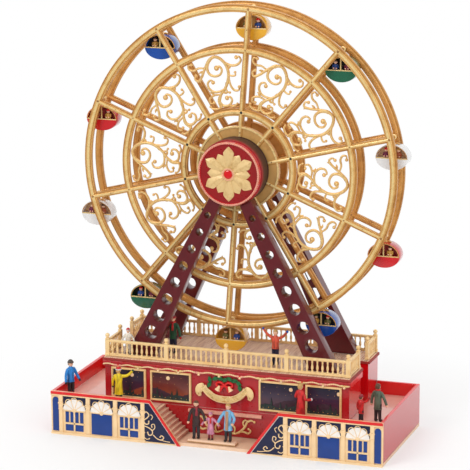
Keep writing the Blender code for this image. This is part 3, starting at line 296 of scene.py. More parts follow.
class Piece:
    """Gathers shapes into one mesh, each with its own finish."""

    def __init__(self, finish):
        self.shape = bmesh.new()
        self.finishes = []
        self.finish = finish
        self.move()

    def move(self, turn=Matrix.Identity(4)):
        """Places what follows, from millimetres to metres."""
        self.placing = Matrix.Scale(MM, 4) @ turn

    def index(self, finish=None):
        finish = finish or self.finish
        if finish not in self.finishes:
            self.finishes.append(finish)
        return self.finishes.index(finish)

    def rows(self, rows, finish=None, around=False, loop=False, caps=False, finishes=None):
        """Faces between rows of points. Around closes each row, loop joins the last row to the first."""
        slot = self.index(finish)
        slots = [self.index(one) for one in finishes] if finishes else None
        made = [[self.shape.verts.new(self.placing @ Vector(point)) for point in row] for row in rows]
        wide = len(rows[0])
        for step in range(len(rows) if loop else len(rows) - 1):
            first, second = made[step], made[(step + 1) % len(made)]
            for place in range(wide if around else wide - 1):
                after = (place + 1) % wide
                face = self.shape.faces.new((first[place], first[after], second[after], second[place]))
                face.material_index = slots[place] if slots else slot
        if caps:
            for row in (made[0][::-1], made[-1]):
                self.shape.faces.new(row).material_index = slot

    def turned(self, profile, centre, axis="Z", sides=32, finish=None, closed=False, finishes=None):
        """A profile of (radius, height) turned about an axis through a centre. Y heights run backwards."""
        rows = []
        for turn in turns(sides):
            across, up = math.cos(turn), math.sin(turn)
            if axis == "Z":
                row = [(radius * across, radius * up, height) for radius, height in profile]
            elif axis == "Y":
                row = [(radius * up, height, radius * across) for radius, height in profile]
            else:
                row = [(height, radius * across, radius * up) for radius, height in profile]
            rows.append([Vector(centre) + Vector(point) for point in row])
        self.rows(rows, finish, around=closed, loop=True, finishes=finishes)

    def tube(self, path, radii, sides=8, finish=None, flat=1.0, up=Vector((0, -1, 0))):
        """A round rod along a path. Flat squeezes it along the up direction."""
        path = [Vector(point) for point in path]
        if not hasattr(radii, "__len__"):
            radii = [radii] * len(path)
        rows = []
        for step, point in enumerate(path):
            along = (path[min(step + 1, len(path) - 1)] - path[max(step - 1, 0)]).normalized()
            side = along.cross(up)
            side = side.normalized() if side.length > 0.01 else along.orthogonal().normalized()
            lift = side.cross(along) * flat
            rows.append([point + (side * math.cos(turn) + lift * math.sin(turn)) * radii[step]
                         for turn in turns(sides)])
        self.rows(rows, finish, around=True, caps=True)

    def ball(self, centre, size, finish=None, rings=7, sides=12, low=0.0):
        """An ellipsoid, or the part of it above a share of its height."""
        size = Vector(size) if hasattr(size, "__len__") else Vector((size, size, size))
        rows = []
        for ring in range(rings + 1):
            lift = math.pi * (low + (1 - low) * ring / rings)
            wide, tall = max(math.sin(lift), 0.02), -math.cos(lift)
            rows.append([Vector(centre) + Vector((size.x * wide * math.cos(turn),
                                                  size.y * wide * math.sin(turn), size.z * tall))
                         for turn in turns(sides)])
        self.rows(rows, finish, around=True, caps=True)

    def block(self, low, high, finish=None, edge=0.25):
        """A box between two corners with small rounded edges."""
        low, high = Vector(low), Vector(high)
        outline = [(low.x, low.y), (high.x, low.y), (high.x, high.y), (low.x, high.y)]
        self.plate([outline], low.z, high.z, finish, edge, standing=False)

    def plate(self, outlines, near, far, finish=None, edge=0.25, standing=True):
        """A plate with rounded edges. Outlines after the first are holes. Standing ones lie in X and Z."""
        curve = bpy.data.curves.new("outline", "CURVE")
        curve.dimensions, curve.fill_mode = "2D", "BOTH"
        curve.extrude = max((far - near) / 2 - edge, 0.0)
        curve.bevel_depth, curve.bevel_resolution, curve.offset = edge, 1 if edge else 0, -edge
        for outline in outlines:
            spline = curve.splines.new("POLY")
            spline.points.add(len(outline) - 1)
            for point, (x, y) in zip(spline.points, outline):
                point.co = (x, y, 0.0, 1.0)
            spline.use_cyclic_u = True
        item = bpy.data.objects.new("outline", curve)
        mesh = bpy.data.meshes.new_from_object(item)
        middle = (near + far) / 2
        turn = Matrix.Rotation(math.pi / 2, 4, "X") if standing else Matrix.Identity(4)
        shift = Matrix.Translation((0, middle, 0) if standing else (0, 0, middle))
        mesh.transform(self.placing @ shift @ turn)
        self.add_mesh(mesh, finish)
        bpy.data.objects.remove(item)
        bpy.data.curves.remove(curve)

    def add_mesh(self, mesh, finish=None):
        count = len(self.shape.faces)
        self.shape.from_mesh(mesh)
        self.shape.faces.ensure_lookup_table()
        slot = self.index(finish)
        for face in self.shape.faces[count:]:
            face.material_index = slot
        bpy.data.meshes.remove(mesh)

    def done(self, name, body, slot, *nodes, angle=38):
        """Cleans up the mesh and sets it out."""
        bmesh.ops.remove_doubles(self.shape, verts=self.shape.verts, dist=1e-6)
        bmesh.ops.recalc_face_normals(self.shape, faces=self.shape.faces)
        mesh = bpy.data.meshes.new(name)
        self.shape.to_mesh(mesh)
        self.shape.free()
        set_out(name, mesh, self.finishes, angle, body, nodes)


def dressed(node, body, finish_of, edge=0.35):
    """A copy of a solid with rounded edges, each face in the finish that its middle and normal call for."""
    shape = bmesh.new()
    shape.from_mesh(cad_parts[node].data)
    bmesh.ops.remove_doubles(shape, verts=shape.verts, dist=1e-6)
    bmesh.ops.dissolve_limit(shape, angle_limit=0.01, verts=shape.verts, edges=shape.edges)
    mesh = bpy.data.meshes.new(node + "_finished")
    finishes = []
    for face in shape.faces:
        finish = finish_of(face.calc_center_median() / MM, face.normal)
        if finish not in finishes:
            finishes.append(finish)
        face.material_index = finishes.index(finish)
    shape.to_mesh(mesh)
    shape.free()
    item = set_out(node + "_finished", mesh, finishes, 35, body, [node])
    bevel = item.modifiers.new("edges", "BEVEL")
    bevel.width, bevel.segments, bevel.limit_method = edge * MM, 2, "ANGLE"
    bevel.angle_limit = math.radians(40)
    bevel.harden_normals = True


def oval(centre, wide, tall, start, end, steps):
    turn = (end - start) / steps
    angles = [start + turn * step for step in range(steps + 1)]
    return [(centre[0] + wide * math.cos(angle), centre[1] + tall * math.sin(angle)) for angle in angles]


def arc(centre, radius, start, end, steps):
    return oval(centre, radius, radius, start, end, steps)


def rectangle(low, high):
    return [(low[0], low[1]), (high[0], low[1]), (high[0], high[1]), (low[0], high[1])]


def mirrored(outline):
    return [(-x, y) for x, y in reversed(outline)]


def smooth_line(points, steps=4):
    """A smooth curve through a few points, in any number of dimensions."""
    points = [Vector(point) for point in points]
    line = []
    for index in range(len(points) - 1):
        before, start = points[max(index - 1, 0)], points[index]
        end, after = points[index + 1], points[min(index + 2, len(points) - 1)]
        for step in range(steps):
            t = step / steps
            line.append(0.5 * (2 * start + (end - before) * t + (2 * before - 5 * start + 4 * end
                                                                 - after) * t ** 2 + (3 * start - before
                                                                                      - 3 * end
                                                                                      + after) * t ** 3))
    return line + [points[-1]]


# Camera, light and floor


def studio():
    """The camera, lamps, world and floor, in metres."""
    scene = bpy.context.scene
    scene.view_settings.view_transform = "Standard"
    back = Vector((math.sin(CAMERA_AZIMUTH) * math.cos(CAMERA_ELEVATION),
                   -math.cos(CAMERA_AZIMUTH) * math.cos(CAMERA_ELEVATION), math.sin(CAMERA_ELEVATION)))
    camera = bpy.data.objects.new("camera", bpy.data.cameras.new("camera"))
    camera.data.lens, camera.data.sensor_width = CAMERA_LENS, 36
    camera.data.clip_start, camera.data.clip_end = 0.05, 50
    turned = back.to_track_quat("Z", "Y").to_matrix().to_4x4() @ Matrix.Rotation(CAMERA_ROLL, 4, "Z")
    camera.matrix_world = Matrix.Translation(CAMERA_TARGET + back * CAMERA_DISTANCE) @ turned
    scene.collection.objects.link(camera)
    scene.camera = camera

    for name, place, size, power, target in (("key", (-0.9, -1.5, 1.5), 1.0, 17, (0, 0, 0.2)),
                                             ("fill", (1.5, -1.2, 0.8), 1.3, 9, (0, 0, 0.15)),
                                             ("top", (0.1, 0.6, 1.9), 1.2, 9, (0, 0, 0.2))):
        lamp = bpy.data.objects.new(name, bpy.data.lights.new(name, "AREA"))
        lamp.data.energy, lamp.data.size = power, size
        aim = (Vector(place) - Vector(target)).to_track_quat("Z", "Y").to_matrix().to_4x4()
        lamp.matrix_world = Matrix.Translation(place) @ aim
        scene.collection.objects.link(lamp)

    world = bpy.data.worlds.new("white_room")
    scene.world = world
    world.use_nodes = True
    room = Nodes(world.node_tree)
    path = room.node("ShaderNodeLightPath").socket.node.outputs
    seen = Value(room, path["Is Camera Ray"]) + Value(room, path["Is Transmission Ray"])
    shine = Value(room, path["Is Glossy Ray"])
    depth = room.node("ShaderNodeSeparateXYZ", sockets={0: room.node("ShaderNodeTexCoord")}, output=1)
    around = room.between(depth, -0.35, 0.45, DIM_ROOM, 1.0)
    light = seen + shine * around + (1.0 - seen - shine) * 0.6
    room.plug(light, room.tree.nodes["Background"].inputs["Strength"])
    room.plug((1, 1, 1, 1), room.tree.nodes["Background"].inputs["Color"])

    mesh = bpy.data.meshes.new("floor")
    mesh.from_pydata([(-6, -4, 0), (6, -4, 0), (6, 8, 0), (-6, 8, 0)], [], [(0, 1, 2, 3)])
    floor = bpy.data.objects.new("floor", mesh)
    scene.collection.objects.link(floor)
    paper = Finish("floor_paper", (0.97, 0.97, 0.97), 0.9)
    paper.feed("Roughness", paper.noise(3) * 0.1 + 0.85)
    path = paper.node("ShaderNodeLightPath").socket.node.outputs
    shine = Value(paper, path["Is Glossy Ray"])
    around = paper.between(paper.axes()[1], 0, 250, DIM_ROOM, 1.0)
    glow = paper.node("ShaderNodeEmission", sockets={"Strength": shine * around + (1.0 - shine)})
    far = paper.node("ShaderNodeVectorMath", {"operation": "LENGTH"}, {0: paper.place()}, output=1)
    shaded = paper.node("ShaderNodeMixShader", sockets={0: paper.between(far, 0.13, 0.34, 0.25, 1.0),
                                                        1: Value(paper, paper.shader.outputs[0]), 2: glow})
    paper.plug(shaded, paper.tree.nodes["Material Output"].inputs["Surface"])
    floor.data.materials.append(paper.material)


# The wheel


def spoke_angle(place):
    return WHEEL_TURN + 2 * math.pi * place / SPOKES


def on_wheel(radius, angle, y):
    """A point of the wheel, its angle clockwise from the top as seen from the front."""
    return Vector((radius * math.sin(angle), y, WHEEL_Z + radius * math.cos(angle)))


MOULDING = ((-3.5, 1.3), (-3.3, 1.7), (-2.2, 1.7), (-1.95, 2.3), (-1.45, 2.8), (-0.7, 3.0), (0.7, 3.0),
            (1.45, 2.8), (1.95, 2.3), (2.2, 1.7), (3.3, 1.7), (3.5, 1.3))


def moulding(width, gold, edge, ridge, depth=FRAME_HALF_DEPTH):
    """The section of rings and spokes: its (across, depth) points and the finish of each side."""
    front = [(across / 3.5 * width, -height / 3.0 * depth) for across, height in MOULDING]
    back = [(across, -height) for across, height in reversed(front)]
    # The ridge finish is a painted highlight on the raised bar's top towards one side; the edge finish is
    # painted shade on the bevels, the sides and the second flange
    finishes = [edge, gold, edge, gold, ridge, ridge, gold, gold, edge, edge, edge, edge]
    return front + back, finishes + finishes[::-1]


def wheel_ring(piece, radius, y, golds, sides):
    section, finishes = moulding(RING_HALF_WIDTH, *golds)
    piece.turned([(radius + across, y + depth) for across, depth in section], (0, 0, WHEEL_Z), "Y", sides,
                 closed=True, finishes=finishes)


def wheel_spoke(piece, place, y, start, end, golds):
    section, finishes = moulding(SPOKE_HALF_WIDTH, *golds, depth=FRAME_HALF_DEPTH + 0.02)
    angle = spoke_angle(place)
    along = Vector((math.sin(angle), 0, math.cos(angle)))
    side = Vector((math.cos(angle), 0, -math.sin(angle)))
    rows = []
    for radius in (start, end):
        middle = Vector((0, y, WHEEL_Z)) + along * radius
        rows.append([middle + side * across + Vector((0, depth, 0)) for across, depth in section])
    piece.rows(rows, around=True, caps=True, finishes=finishes)


def stud(piece, radius, angle, y, size, finish, front):
    """A round-headed dot on a frame's face."""
    middle = on_wheel(radius, angle, y)
    lift = -1 if front else 1
    profile = [(0.02, lift * size * 0.62), (size * 0.55, lift * size * 0.5), (size * 0.9,
                                                                              lift * size * 0.2),
               (size, 0), (size, -lift * 0.5)]
    piece.turned(profile, middle, "Y", 12, finish)


# Each sector's scrolls as points to the right of the sector's middle and out from the axle, with the
# stem's radius and the radius of the ball that it ends in
SCROLLS = (
    (((-2.9, 57.9), (-3.4, 64.7), (0.1, 69.8), (5.4, 74.6), (9.4, 80.5), (11.9, 87.7), (11.2, 95.5),
      (7.2, 102.0), (1.8, 104.8), (-3.7, 102.2), (-7.2, 96.2), (-6.4, 90.3), (-1.6, 87.3), (3.6, 87.9),
      (6.3, 91.7), (4.5, 95.4), (1.7, 94.3)), 1.5, 2.5),
    (((0.8, 105.0), (6.4, 102.7), (11.1, 97.4), (16.4, 94.0), (22.4, 93.8), (26.4, 96.8), (25.6, 100.4),
      (22.8, 100.4)), 1.25, 1.9),
    (((2.4, 105.2), (-3.7, 103.2), (-9.7, 95.7), (-14.4, 89.0), (-18.6, 85.6), (-21.4, 88.4),
      (-19.8, 91.2)), 1.25, 1.6),
    (((-10.4, 96.4), (-15.6, 97.4), (-20.4, 96.2), (-24.6, 97.8), (-25.0, 101.4),
      (-21.6, 102.0)), 1.1, 1.6),
    (((11.6, 86.3), (14.5, 84.6), (18.0, 84.6), (18.4, 87.2)), 0.95, 1.3),
    (((11.2, 83.1), (11.3, 76.3), (13.6, 71.5), (17.8, 70.6), (19.2, 73.4)), 1.15, 1.6),
    (((5.9, 74.5), (-0.2, 72.8), (-6.1, 73.4), (-10.0, 77.5), (-10.0, 82.3), (-6.4, 84.5),
      (-4.8, 82.0)), 1.2, 1.9),
    (((-0.1, 68.9), (-2.5, 63.6), (0.0, 59.3), (5.5, 58.7), (9.2, 62.3), (8.2, 66.1),
      (5.0, 65.6)), 1.25, 2.1),
    (((6.1, 75.4), (6.6, 71.5), (8.9, 70.0)), 0.9, 1.2),
    (((0.1, 69.8), (-6.9, 70.2), (-12.0, 67.2), (-11.4, 63.4), (-8.4, 63.6)), 1.05, 1.5),
    (((0.0, 59.6), (-5.6, 57.2), (-10.8, 58.2), (-12.6, 60.6)), 1.1, 1.2),
    (((5.0, 58.8), (9.6, 57.0), (13.6, 58.6)), 1.1, 1.2),
)
# The leaves' feet and the way that each points, in degrees
LEAVES = ((-11.6, 92.6, 150), (-15.0, 88.0, 215), (12.6, 92.0, 20), (3.0, 72.4, -60), (-6.6, 70.6, 110),
          (10.8, 79.0, 160), (0.2, 104.6, 200))
# Each leaf's points as the reach from its foot and the bend in radians
LEAF_REACH = ((0, 0), (1.6, 0.1), (3.2, 0.3), (4.6, 0.55))


def scrollwork(piece, place, y):
    angle = spoke_angle(place + 0.5)
    side = Vector((math.cos(angle), 0, -math.sin(angle)))
    out = Vector((math.sin(angle), 0, math.cos(angle)))
    middle = Vector((0, y, WHEEL_Z))

    def at(x, z):
        return middle + (side * x + out * z)
    for points, width, ball in SCROLLS:
        line = [at(*point) for point in smooth_line(points, 5)]
        count = len(line) - 1
        radii = [width * (0.72 + 0.28 * math.sin(math.pi * min(step / count * 1.2, 1.0))) for step in
                 range(count + 1)]
        piece.tube(line, radii, 8, SCROLL_GOLD, flat=0.9)
        # A thin line along each stem's front and a spot on each end ball are painted highlights
        ridge = [point + Vector((0, -radius * 0.72, 0)) for point, radius in zip(line, radii)]
        piece.tube(ridge, [radius * 0.42 for radius in radii], 6, BRIGHT_GOLD_AND_HIGHLIGHT)
        piece.ball(line[-1], (ball, 1.5, ball), SCROLL_GOLD, 8, 12)
        piece.ball(line[-1] + Vector((0, -1.1, 0)), ball * 0.45, BRIGHT_GOLD_AND_HIGHLIGHT, 5, 8)
        piece.ball(line[0], width * 0.9, SCROLL_GOLD, 5, 8)
    for x, z, turn in LEAVES:
        turn = math.radians(turn)
        leaf = [at(x + reach * math.cos(turn + bend), z + reach * math.sin(turn + bend))
                for reach, bend in LEAF_REACH]
        piece.tube(leaf, [0.9, 1.35, 1.0, 0.3], 7, SCROLL_GOLD, flat=0.7)


def hub_plate(piece, y, gold, rim):
    """The round plate about the axle, with a raised rim."""
    web = [(8, -1.6), (37.9, -1.6), (38.1, -2.5), (39.0, -2.7), (39.8, -2.4), (39.8, 2.4), (39.0, 2.7),
           (38.1, 2.5), (37.9, 1.6), (8, 1.6)]
    piece.turned([(radius, y + depth) for radius, depth in web], (0, 0, WHEEL_Z), "Y", 120, closed=True,
                 finishes=(gold, rim, rim, rim, gold, rim, rim, rim, gold, gold))


def build_wheel():
    front_golds, rear_golds = (GOLD, GOLD_EDGE_SHADE, BRIGHT_GOLD_AND_HIGHLIGHT), (REAR_GOLD, GOLD_EDGE_SHADE, REAR_GOLD)
    for node, y, golds in (("rear_wheel_frame", REAR_FRAME_Y, rear_golds),
                           ("front_wheel_frame", FRONT_FRAME_Y, front_golds)):
        front = node.startswith("front")
        piece = Piece(GOLD)
        for radius, sides in ((OUTER_RING, 200), (MIDDLE_RING, 180), (INNER_RING, 120)):
            wheel_ring(piece, radius, y, golds, sides)
        hub_plate(piece, y, HUB_GOLD, golds[2])
        for place in range(SPOKES):
            wheel_spoke(piece, place, y, 20, OUTER_RING + 1.5, golds)
            angle = spoke_angle(place)
            for face, lift in ((True, -FRAME_HALF_DEPTH), (False, FRAME_HALF_DEPTH)):
                face_y = y + lift * 0.96
                # Black dots at the inner ring's screw holes and dark gold dots along each spoke, their
                # darkness painted shade
                stud(piece, INNER_RING, angle, face_y, 1.3, BLACK, face)
                for radius, size in ((34, 0.8), (MIDDLE_RING, 0.75), (MIDDLE_RING * 0.74, 0.6),
                                     ((MIDDLE_RING + OUTER_RING) / 2, 0.6)):
                    stud(piece, radius, angle, face_y, size, GOLD_SHADE, face)
                stud(piece, OUTER_RING, angle, face_y, 1.2, GOLD_SHADE, face)
        if front:
            for place in range(SPOKES):
                scrollwork(piece, place, y + 0.6)
        else:
            gap_low = FRONT_FRAME_Y + FRAME_HALF_DEPTH + SEAT
            gap_high = REAR_FRAME_Y - FRAME_HALF_DEPTH + 0.5
            for place in range(SPOKES):
                angle = spoke_angle(place)
                for radius, size in ((OUTER_RING, 1.1), (INNER_RING, 1.8)):
                    start, end = on_wheel(radius, angle, gap_low), on_wheel(radius, angle, gap_high)
                    piece.tube([start, end], size, 12, GOLD, up=Vector((0, 0, 1)))
                    if radius == INNER_RING:
                        for share in (0.12, 0.5, 0.88):
                            middle = start.lerp(end, share)
                            ends = [middle + Vector((0, lift, 0)) for lift in (-0.8, -0.4, 0.4, 0.8)]
                            piece.tube(ends, [1.9, 2.4, 2.4, 1.9], 12, GOLD, up=Vector((0, 0, 1)))
        piece.done(node.replace("wheel_frame", "frame_gilded"), "wheel", "gold_plastic", node)


# Cars


CAR_HALF_WIDTH, CAR_HALF_DEPTH, CAR_SILL = 15.15, 6.75, 18.5
CAR_ROOF, CAR_BOWL, CAR_SHELL = 12.5, 11, 1.1
# Name, paint, inside and material slot of the five kinds of car, clockwise from the top
CAR_PAINT = (
    ("yellow", (0.83, 0.43, 0.03), (0.50, 0.24, 0.05), "yellow_plastic"),
    ("green", (0.012, 0.13, 0.065), (0.02, 0.015, 0.015), "green_plastic"),
    ("white", (0.80, 0.79, 0.78), (0.80, 0.47, 0.24), "white_plastic"),
    ("red", (0.62, 0.01, 0.015), (0.30, 0.015, 0.012), "red_plastic"),
    ("blue", (0.008, 0.075, 0.38), (0.02, 0.018, 0.022), "blue_plastic"),
)
SKIN = painted("skin_paint", (0.86, 0.50, 0.33), 0.45, 0.1, 0.9, 2)
HAIR_BROWN = painted("brown_paint", (0.13, 0.055, 0.025), 0.5, 0.1, 0.7, 1.5)
HAIR_BLOND = painted("blond_paint", (0.62, 0.36, 0.12), 0.5, 0.1, 0.7, 1.5)


def rider(piece, x, y, seat_z, coat, hat, front):
    """A seated rider: rounded shoulders, arms forward on the sill, a head and a cap."""
    lean = -1 if front else 1
    piece.turned([(0.1, 6.1), (1.2, 5.9), (2.2, 5.2), (2.45, 4.0),
                  (2.2, 1.5), (2.3, 0)], (x, y, seat_z), "Z", 14, coat)
    piece.ball((x, y, seat_z + 7.6), (1.75, 1.75, 2.0), SKIN, 8, 14)
    piece.ball((x, y - 0.1 * lean, seat_z + 8.3), (1.95, 1.95, 1.7), hat, 5, 14, low=0.45)
    piece.ball((x, y + 1.75 * lean, seat_z + 7.5), 0.32, SKIN, 4, 6)
    for side in (-1, 1):
        shoulder = (x + side * 2.1, y, seat_z + 5.0)
        hand = (x + side * 1.3, y + 2.6 * lean, seat_z + 2.2)
        elbow = (x + side * 2.5, y + 0.9 * lean, seat_z + 2.9)
        piece.tube(smooth_line([shoulder, elbow, hand], 3), 0.75, 7, coat, up=Vector((0, 0, 1)))
        piece.ball(hand, 0.8, SKIN, 4, 7)


def build_cars():
    paints = []
    for name, colour, inside, slot in CAR_PAINT:
        paint = painted(name + "_gloss", colour, 0.18, 1.0, 0.93, 7)
        lining = painted(name + "_lining", inside, 0.6, 0.0, 0.8, 3)
        paints.append((paint, lining, slot))
    coats = [painted("coat_" + name, colour, 0.5, 0.1, 0.7, 1.5) for name, colour in (
        ("rust", (0.42, 0.09, 0.03)), ("blue", (0.02, 0.07, 0.30)), ("mustard", (0.62, 0.34, 0.06)),
        ("plum", (0.20, 0.02, 0.06)), ("olive", (0.16, 0.15, 0.04)))]
    for place in range(SPOKES):
        paint, lining, slot = paints[place % 5]
        piece = Piece(paint)
        piece.move(Matrix.Translation(on_wheel(OUTER_RING, spoke_angle(place), WHEEL_Y)))
        wide, tall = CAR_HALF_WIDTH, CAR_ROOF
        sill = (0, -CAR_SILL)
        bowl = oval(sill, wide, CAR_BOWL, math.pi, 2 * math.pi, 40)
        piece.plate([bowl], -CAR_HALF_DEPTH, CAR_HALF_DEPTH, paint, 0.9)
        roof = oval(sill, wide, tall, 0, math.pi, 40)
        under = oval(sill, wide - CAR_SHELL, tall - CAR_SHELL, math.pi, 0, 40)
        piece.plate([roof + under], -CAR_HALF_DEPTH, CAR_HALF_DEPTH, paint, 0.3)
        back = oval(sill, wide - CAR_SHELL * 0.6, tall - CAR_SHELL * 0.6, 0, math.pi, 30)
        piece.plate([back], -0.7, 0.7, lining, 0.1)
        for front in (True, False):
            lift = -1 if front else 1
            face = lift * (CAR_HALF_DEPTH - 0.05)
            rim = oval(sill, wide - 0.75, tall - 0.75, 0, math.pi, 36)
            piece.tube(upright(rim, face), 0.42, 6, DARK_CREAM if place % 5 in (0, 2) else GOLD)
            piece.block((-wide + 0.6, min(face, face - lift * 1.2), -CAR_SILL - 0.55),
                        (wide - 0.6, max(face, face - lift * 1.2), -CAR_SILL + 0.45), BRIGHT_GOLD_AND_HIGHLIGHT,
                        0.15)
            piece.block((-0.55, min(face, face - lift * 1.0), -CAR_SILL),
                        (0.55, max(face, face - lift * 1.0), -CAR_SILL + tall - 0.8), BRIGHT_GOLD_AND_HIGHLIGHT, 0.12)
            for side in (-1, 1):
                pick = (place * 2 + side + (0 if front else 1)) % 5
                hat = (HAIR_BROWN, TRIM_RED, HAIR_BLOND, coats[(pick + 2) % 5])[(place + side) % 4]
                rider(piece, side * 5.6, lift * 3.3, -CAR_SILL - 0.4, coats[pick], hat, front)
        neck = [(1.5, -2.2), (1.1, -3.4), (1.2, -4.8), (2.6, -6.1), (3.0, -6.4), (2.4, -7.4)]
        piece.turned(neck, (0, 0, 0), "Z", 16, GOLD)
        eye = [(1.75 + 0.85 * math.cos(turn), 1.5 * math.sin(turn)) for turn in turns(10)]
        piece.turned(eye, (0, 0, 0), "Y", 20, BRIGHT_GOLD_AND_HIGHLIGHT, closed=True)
        for side in (-1, 1):
            leaf = smooth_line([(side * 1.2, 0, -5.9), (side * 3.6, 0, -5.6),
                                (side * 5.2, 0, -6.3), (side * 5.0, 0, -7.2)], 4)
            piece.tube(leaf, [0.8] * 6 + [0.6] * 4 + [0.5] * 3, 8, GOLD)
        piece.done(f"car_{place + 1}", f"gondola_{place + 1}", slot, f"gondola_{place + 1}")


# Hub


def petal(piece, angle, length, y, half_width, lift):
    """A folded leaf of the rosette: narrow at the boss, widest near three quarters, with a blunt point."""
    across = Vector((math.cos(angle), 0, -math.sin(angle)))
    out = Vector((math.sin(angle), 0, math.cos(angle)))
    rows = []
    for share, width, rise in ((0.0, 0.34, 0.7), (0.2, 0.52, 0.9), (0.4, 0.74, 1.0), (0.58, 0.92, 1.0),
                               (0.68, 1.0, 0.95), (0.74, 0.98, 0.9), (0.82, 0.76, 0.75), (0.92, 0.38, 0.5),
                               (1.0, 0.03, 0.25)):
        radius = 4.5 + (length - 4.5) * share
        wide = half_width * width
        rows.append([Vector((0, y - lift * rise * height, WHEEL_Z)) + out * radius + across * wide * side
                     for side, height in ((-1, -0.3), (-0.98, 0.25), (-0.5, 0.66), (0, 1.0), (0.5, 0.66),
                                          (0.98, 0.25), (1, -0.3))])
    piece.rows(rows, PETAL_GOLD)


def build_hub():
    wheel_axle = (0, 0, WHEEL_Z)
    face_y = CAP_FRONT_Y + 3.2
    cap = Piece(CAP_RED)
    back_y = CAP_FRONT_Y + 7.6
    # The cap's face in the plain red, its rim and side in a brighter red as painted light
    cap.turned([(0.05, face_y), (CAP_RADIUS - 2.4, face_y), (CAP_RADIUS - 1.9, face_y - 0.9),
                (CAP_RADIUS - 0.5, face_y - 0.7), (CAP_RADIUS, face_y + 0.3), (CAP_RADIUS, back_y),
                (0.05, back_y)], wheel_axle, "Y", 96, finishes=[CAP_RED] + [CAP_SIDE_LIT] * 6)
    ring, twists, steps = CAP_RADIUS - 1.0, 44, 528
    for strand in range(2):
        line = []
        for angle in turns(steps):
            twist = angle * twists + math.pi * strand
            line.append(on_wheel(ring + 0.56 * math.cos(twist), angle,
                                 face_y - 1.3 + 0.56 * math.sin(twist)))
        rows = []
        for step, point in enumerate(line):
            along = (line[(step + 1) % steps] - line[step - 1]).normalized()
            side = along.cross(Vector((0, 1, 0))).normalized()
            rows.append([point + (side * math.cos(turn) + side.cross(along) * math.sin(turn)) * 0.46
                         for turn in turns(7)])
        cap.rows(rows, ROSE_CREAM, around=True, loop=True)
    cap.done("hub_cap_painted", "base", "red_plastic", "front_hub_cap")

    flower = Piece(PETAL_GOLD)
    for angle in turns(12)[1::2]:
        petal(flower, angle, 20.6, face_y + 0.1, 4.5, 1.5)
    for angle in turns(12)[::2]:
        petal(flower, angle, 25.4, face_y - 0.35, 5.2, 1.9)
    boss_y = CAP_FRONT_Y + 0.9
    flower.turned([(6.4, face_y), (6.4, boss_y + 0.4), (5.8, boss_y - 0.1),
                   (4.4, boss_y - 0.1), (4.1, boss_y + 0.6)], wheel_axle, "Y", 48, PETAL_GOLD)
    for angle in turns(24):
        flower.ball(on_wheel(5.2, angle, boss_y - 0.05), 0.66, ROSE_CREAM, 7, 10)
    gem = [(4.2 * math.cos(lift), boss_y + 0.6 - 1.45 * math.sin(lift)) for lift in
           (math.pi / 2 * step / 8 * 0.995 for step in range(9))]
    flower.turned(gem, wheel_axle, "Y", 40, GEM_RED)
    flower.done("hub_rosette", "base", "pale_gold_plastic", "hub_flower", angle=16)

    drum = Piece(DRUM_SHADE)
    outer, inner, low_y, high_y = DRUM_RADIUS, DRUM_RADIUS - 2.5, back_y - 0.3, 5.0
    drum.turned([(inner, low_y), (outer - 0.5, low_y), (outer, low_y + 0.5), (outer, high_y - 3.6),
                 (outer - 0.4, high_y - 3.2), (outer - 0.4, high_y - 1.8),
                 (outer, high_y - 1.4), (outer, high_y), (inner, high_y)], wheel_axle, "Y", 96, closed=True)
    # The drum's inner wall in the near-black brown of painted shade
    drum.turned([(1.9, high_y - 2.5), (inner, high_y - 2.5), (inner, high_y), (1.9, high_y)],
                wheel_axle, "Y", 64, DRUM_SHADE_BROWN, closed=True)
    drum.done("front_drum_painted", "base", "maroon_plastic", "front_hub_drum")

    rear = Piece(CAP_RED)
    profile = ((0.05, 0), (22, 0), (22.6, 0.5), (26.8, 0.5), (27.4, 0), (CAP_RADIUS - 0.5, 0),
               (CAP_RADIUS, 0.6), (CAP_RADIUS, 2), (0.05, 2))
    rear.turned([(radius, REAR_CAP_Y - depth) for radius, depth in profile], wheel_axle, "Y", 96,
                finishes=[CAP_RED] * 2 + [GOLD] + [CAP_RED] * 3 + [MAROON] * 3)
    screw = [(radius, REAR_CAP_Y - depth) for radius, depth in ((0.05, 0.02), (2.6, 0.1), (3.1, 0.3))]
    rear.turned(screw, wheel_axle, "Y", 24, STEEL)
    rear.done("rear_cap_painted", "base", "red_plastic", "rear_hub_cap")


# Legs


LEG_FOOT_X, LEG_HEAD_X, LEG_DEPTH = 89.6, 1.8, 12
LEG_FOOT_HALF, LEG_HEAD_HALF = 13.8, 5.2
LEG_FRONT_Y, REAR_LEG_FRONT_Y = -16, 47.6
# The holes' first and last height, the first one's radius and how much larger the last one is
TOP_HOLE_Z, LAST_HOLE_Z, TOP_HOLE_RADIUS, HOLE_GROWTH = 208.1, 92.2, 3.1, 3.3
LEG_LEAN = (LEG_FOOT_X - LEG_HEAD_X) / (WHEEL_Z - DECK_TOP_Z)


def leg_middle(z):
    return LEG_FOOT_X + LEG_LEAN * (DECK_TOP_Z - z)


def leg_half(z):
    return LEG_FOOT_HALF + (z - DECK_TOP_Z) / (WHEEL_Z - DECK_TOP_Z) * (LEG_HEAD_HALF - LEG_FOOT_HALF)


def edge_at_drum(side, radius):
    """Where a leg's outer or inner edge meets a circle about the axle, found by halving."""
    low, high = DECK_TOP_Z, WHEEL_Z
    for _ in range(40):
        z = (low + high) / 2
        if math.hypot(leg_middle(z) + side * leg_half(z), WHEEL_Z - z) > radius:
            low = z
        else:
            high = z
    return leg_middle(low) + side * leg_half(low), low


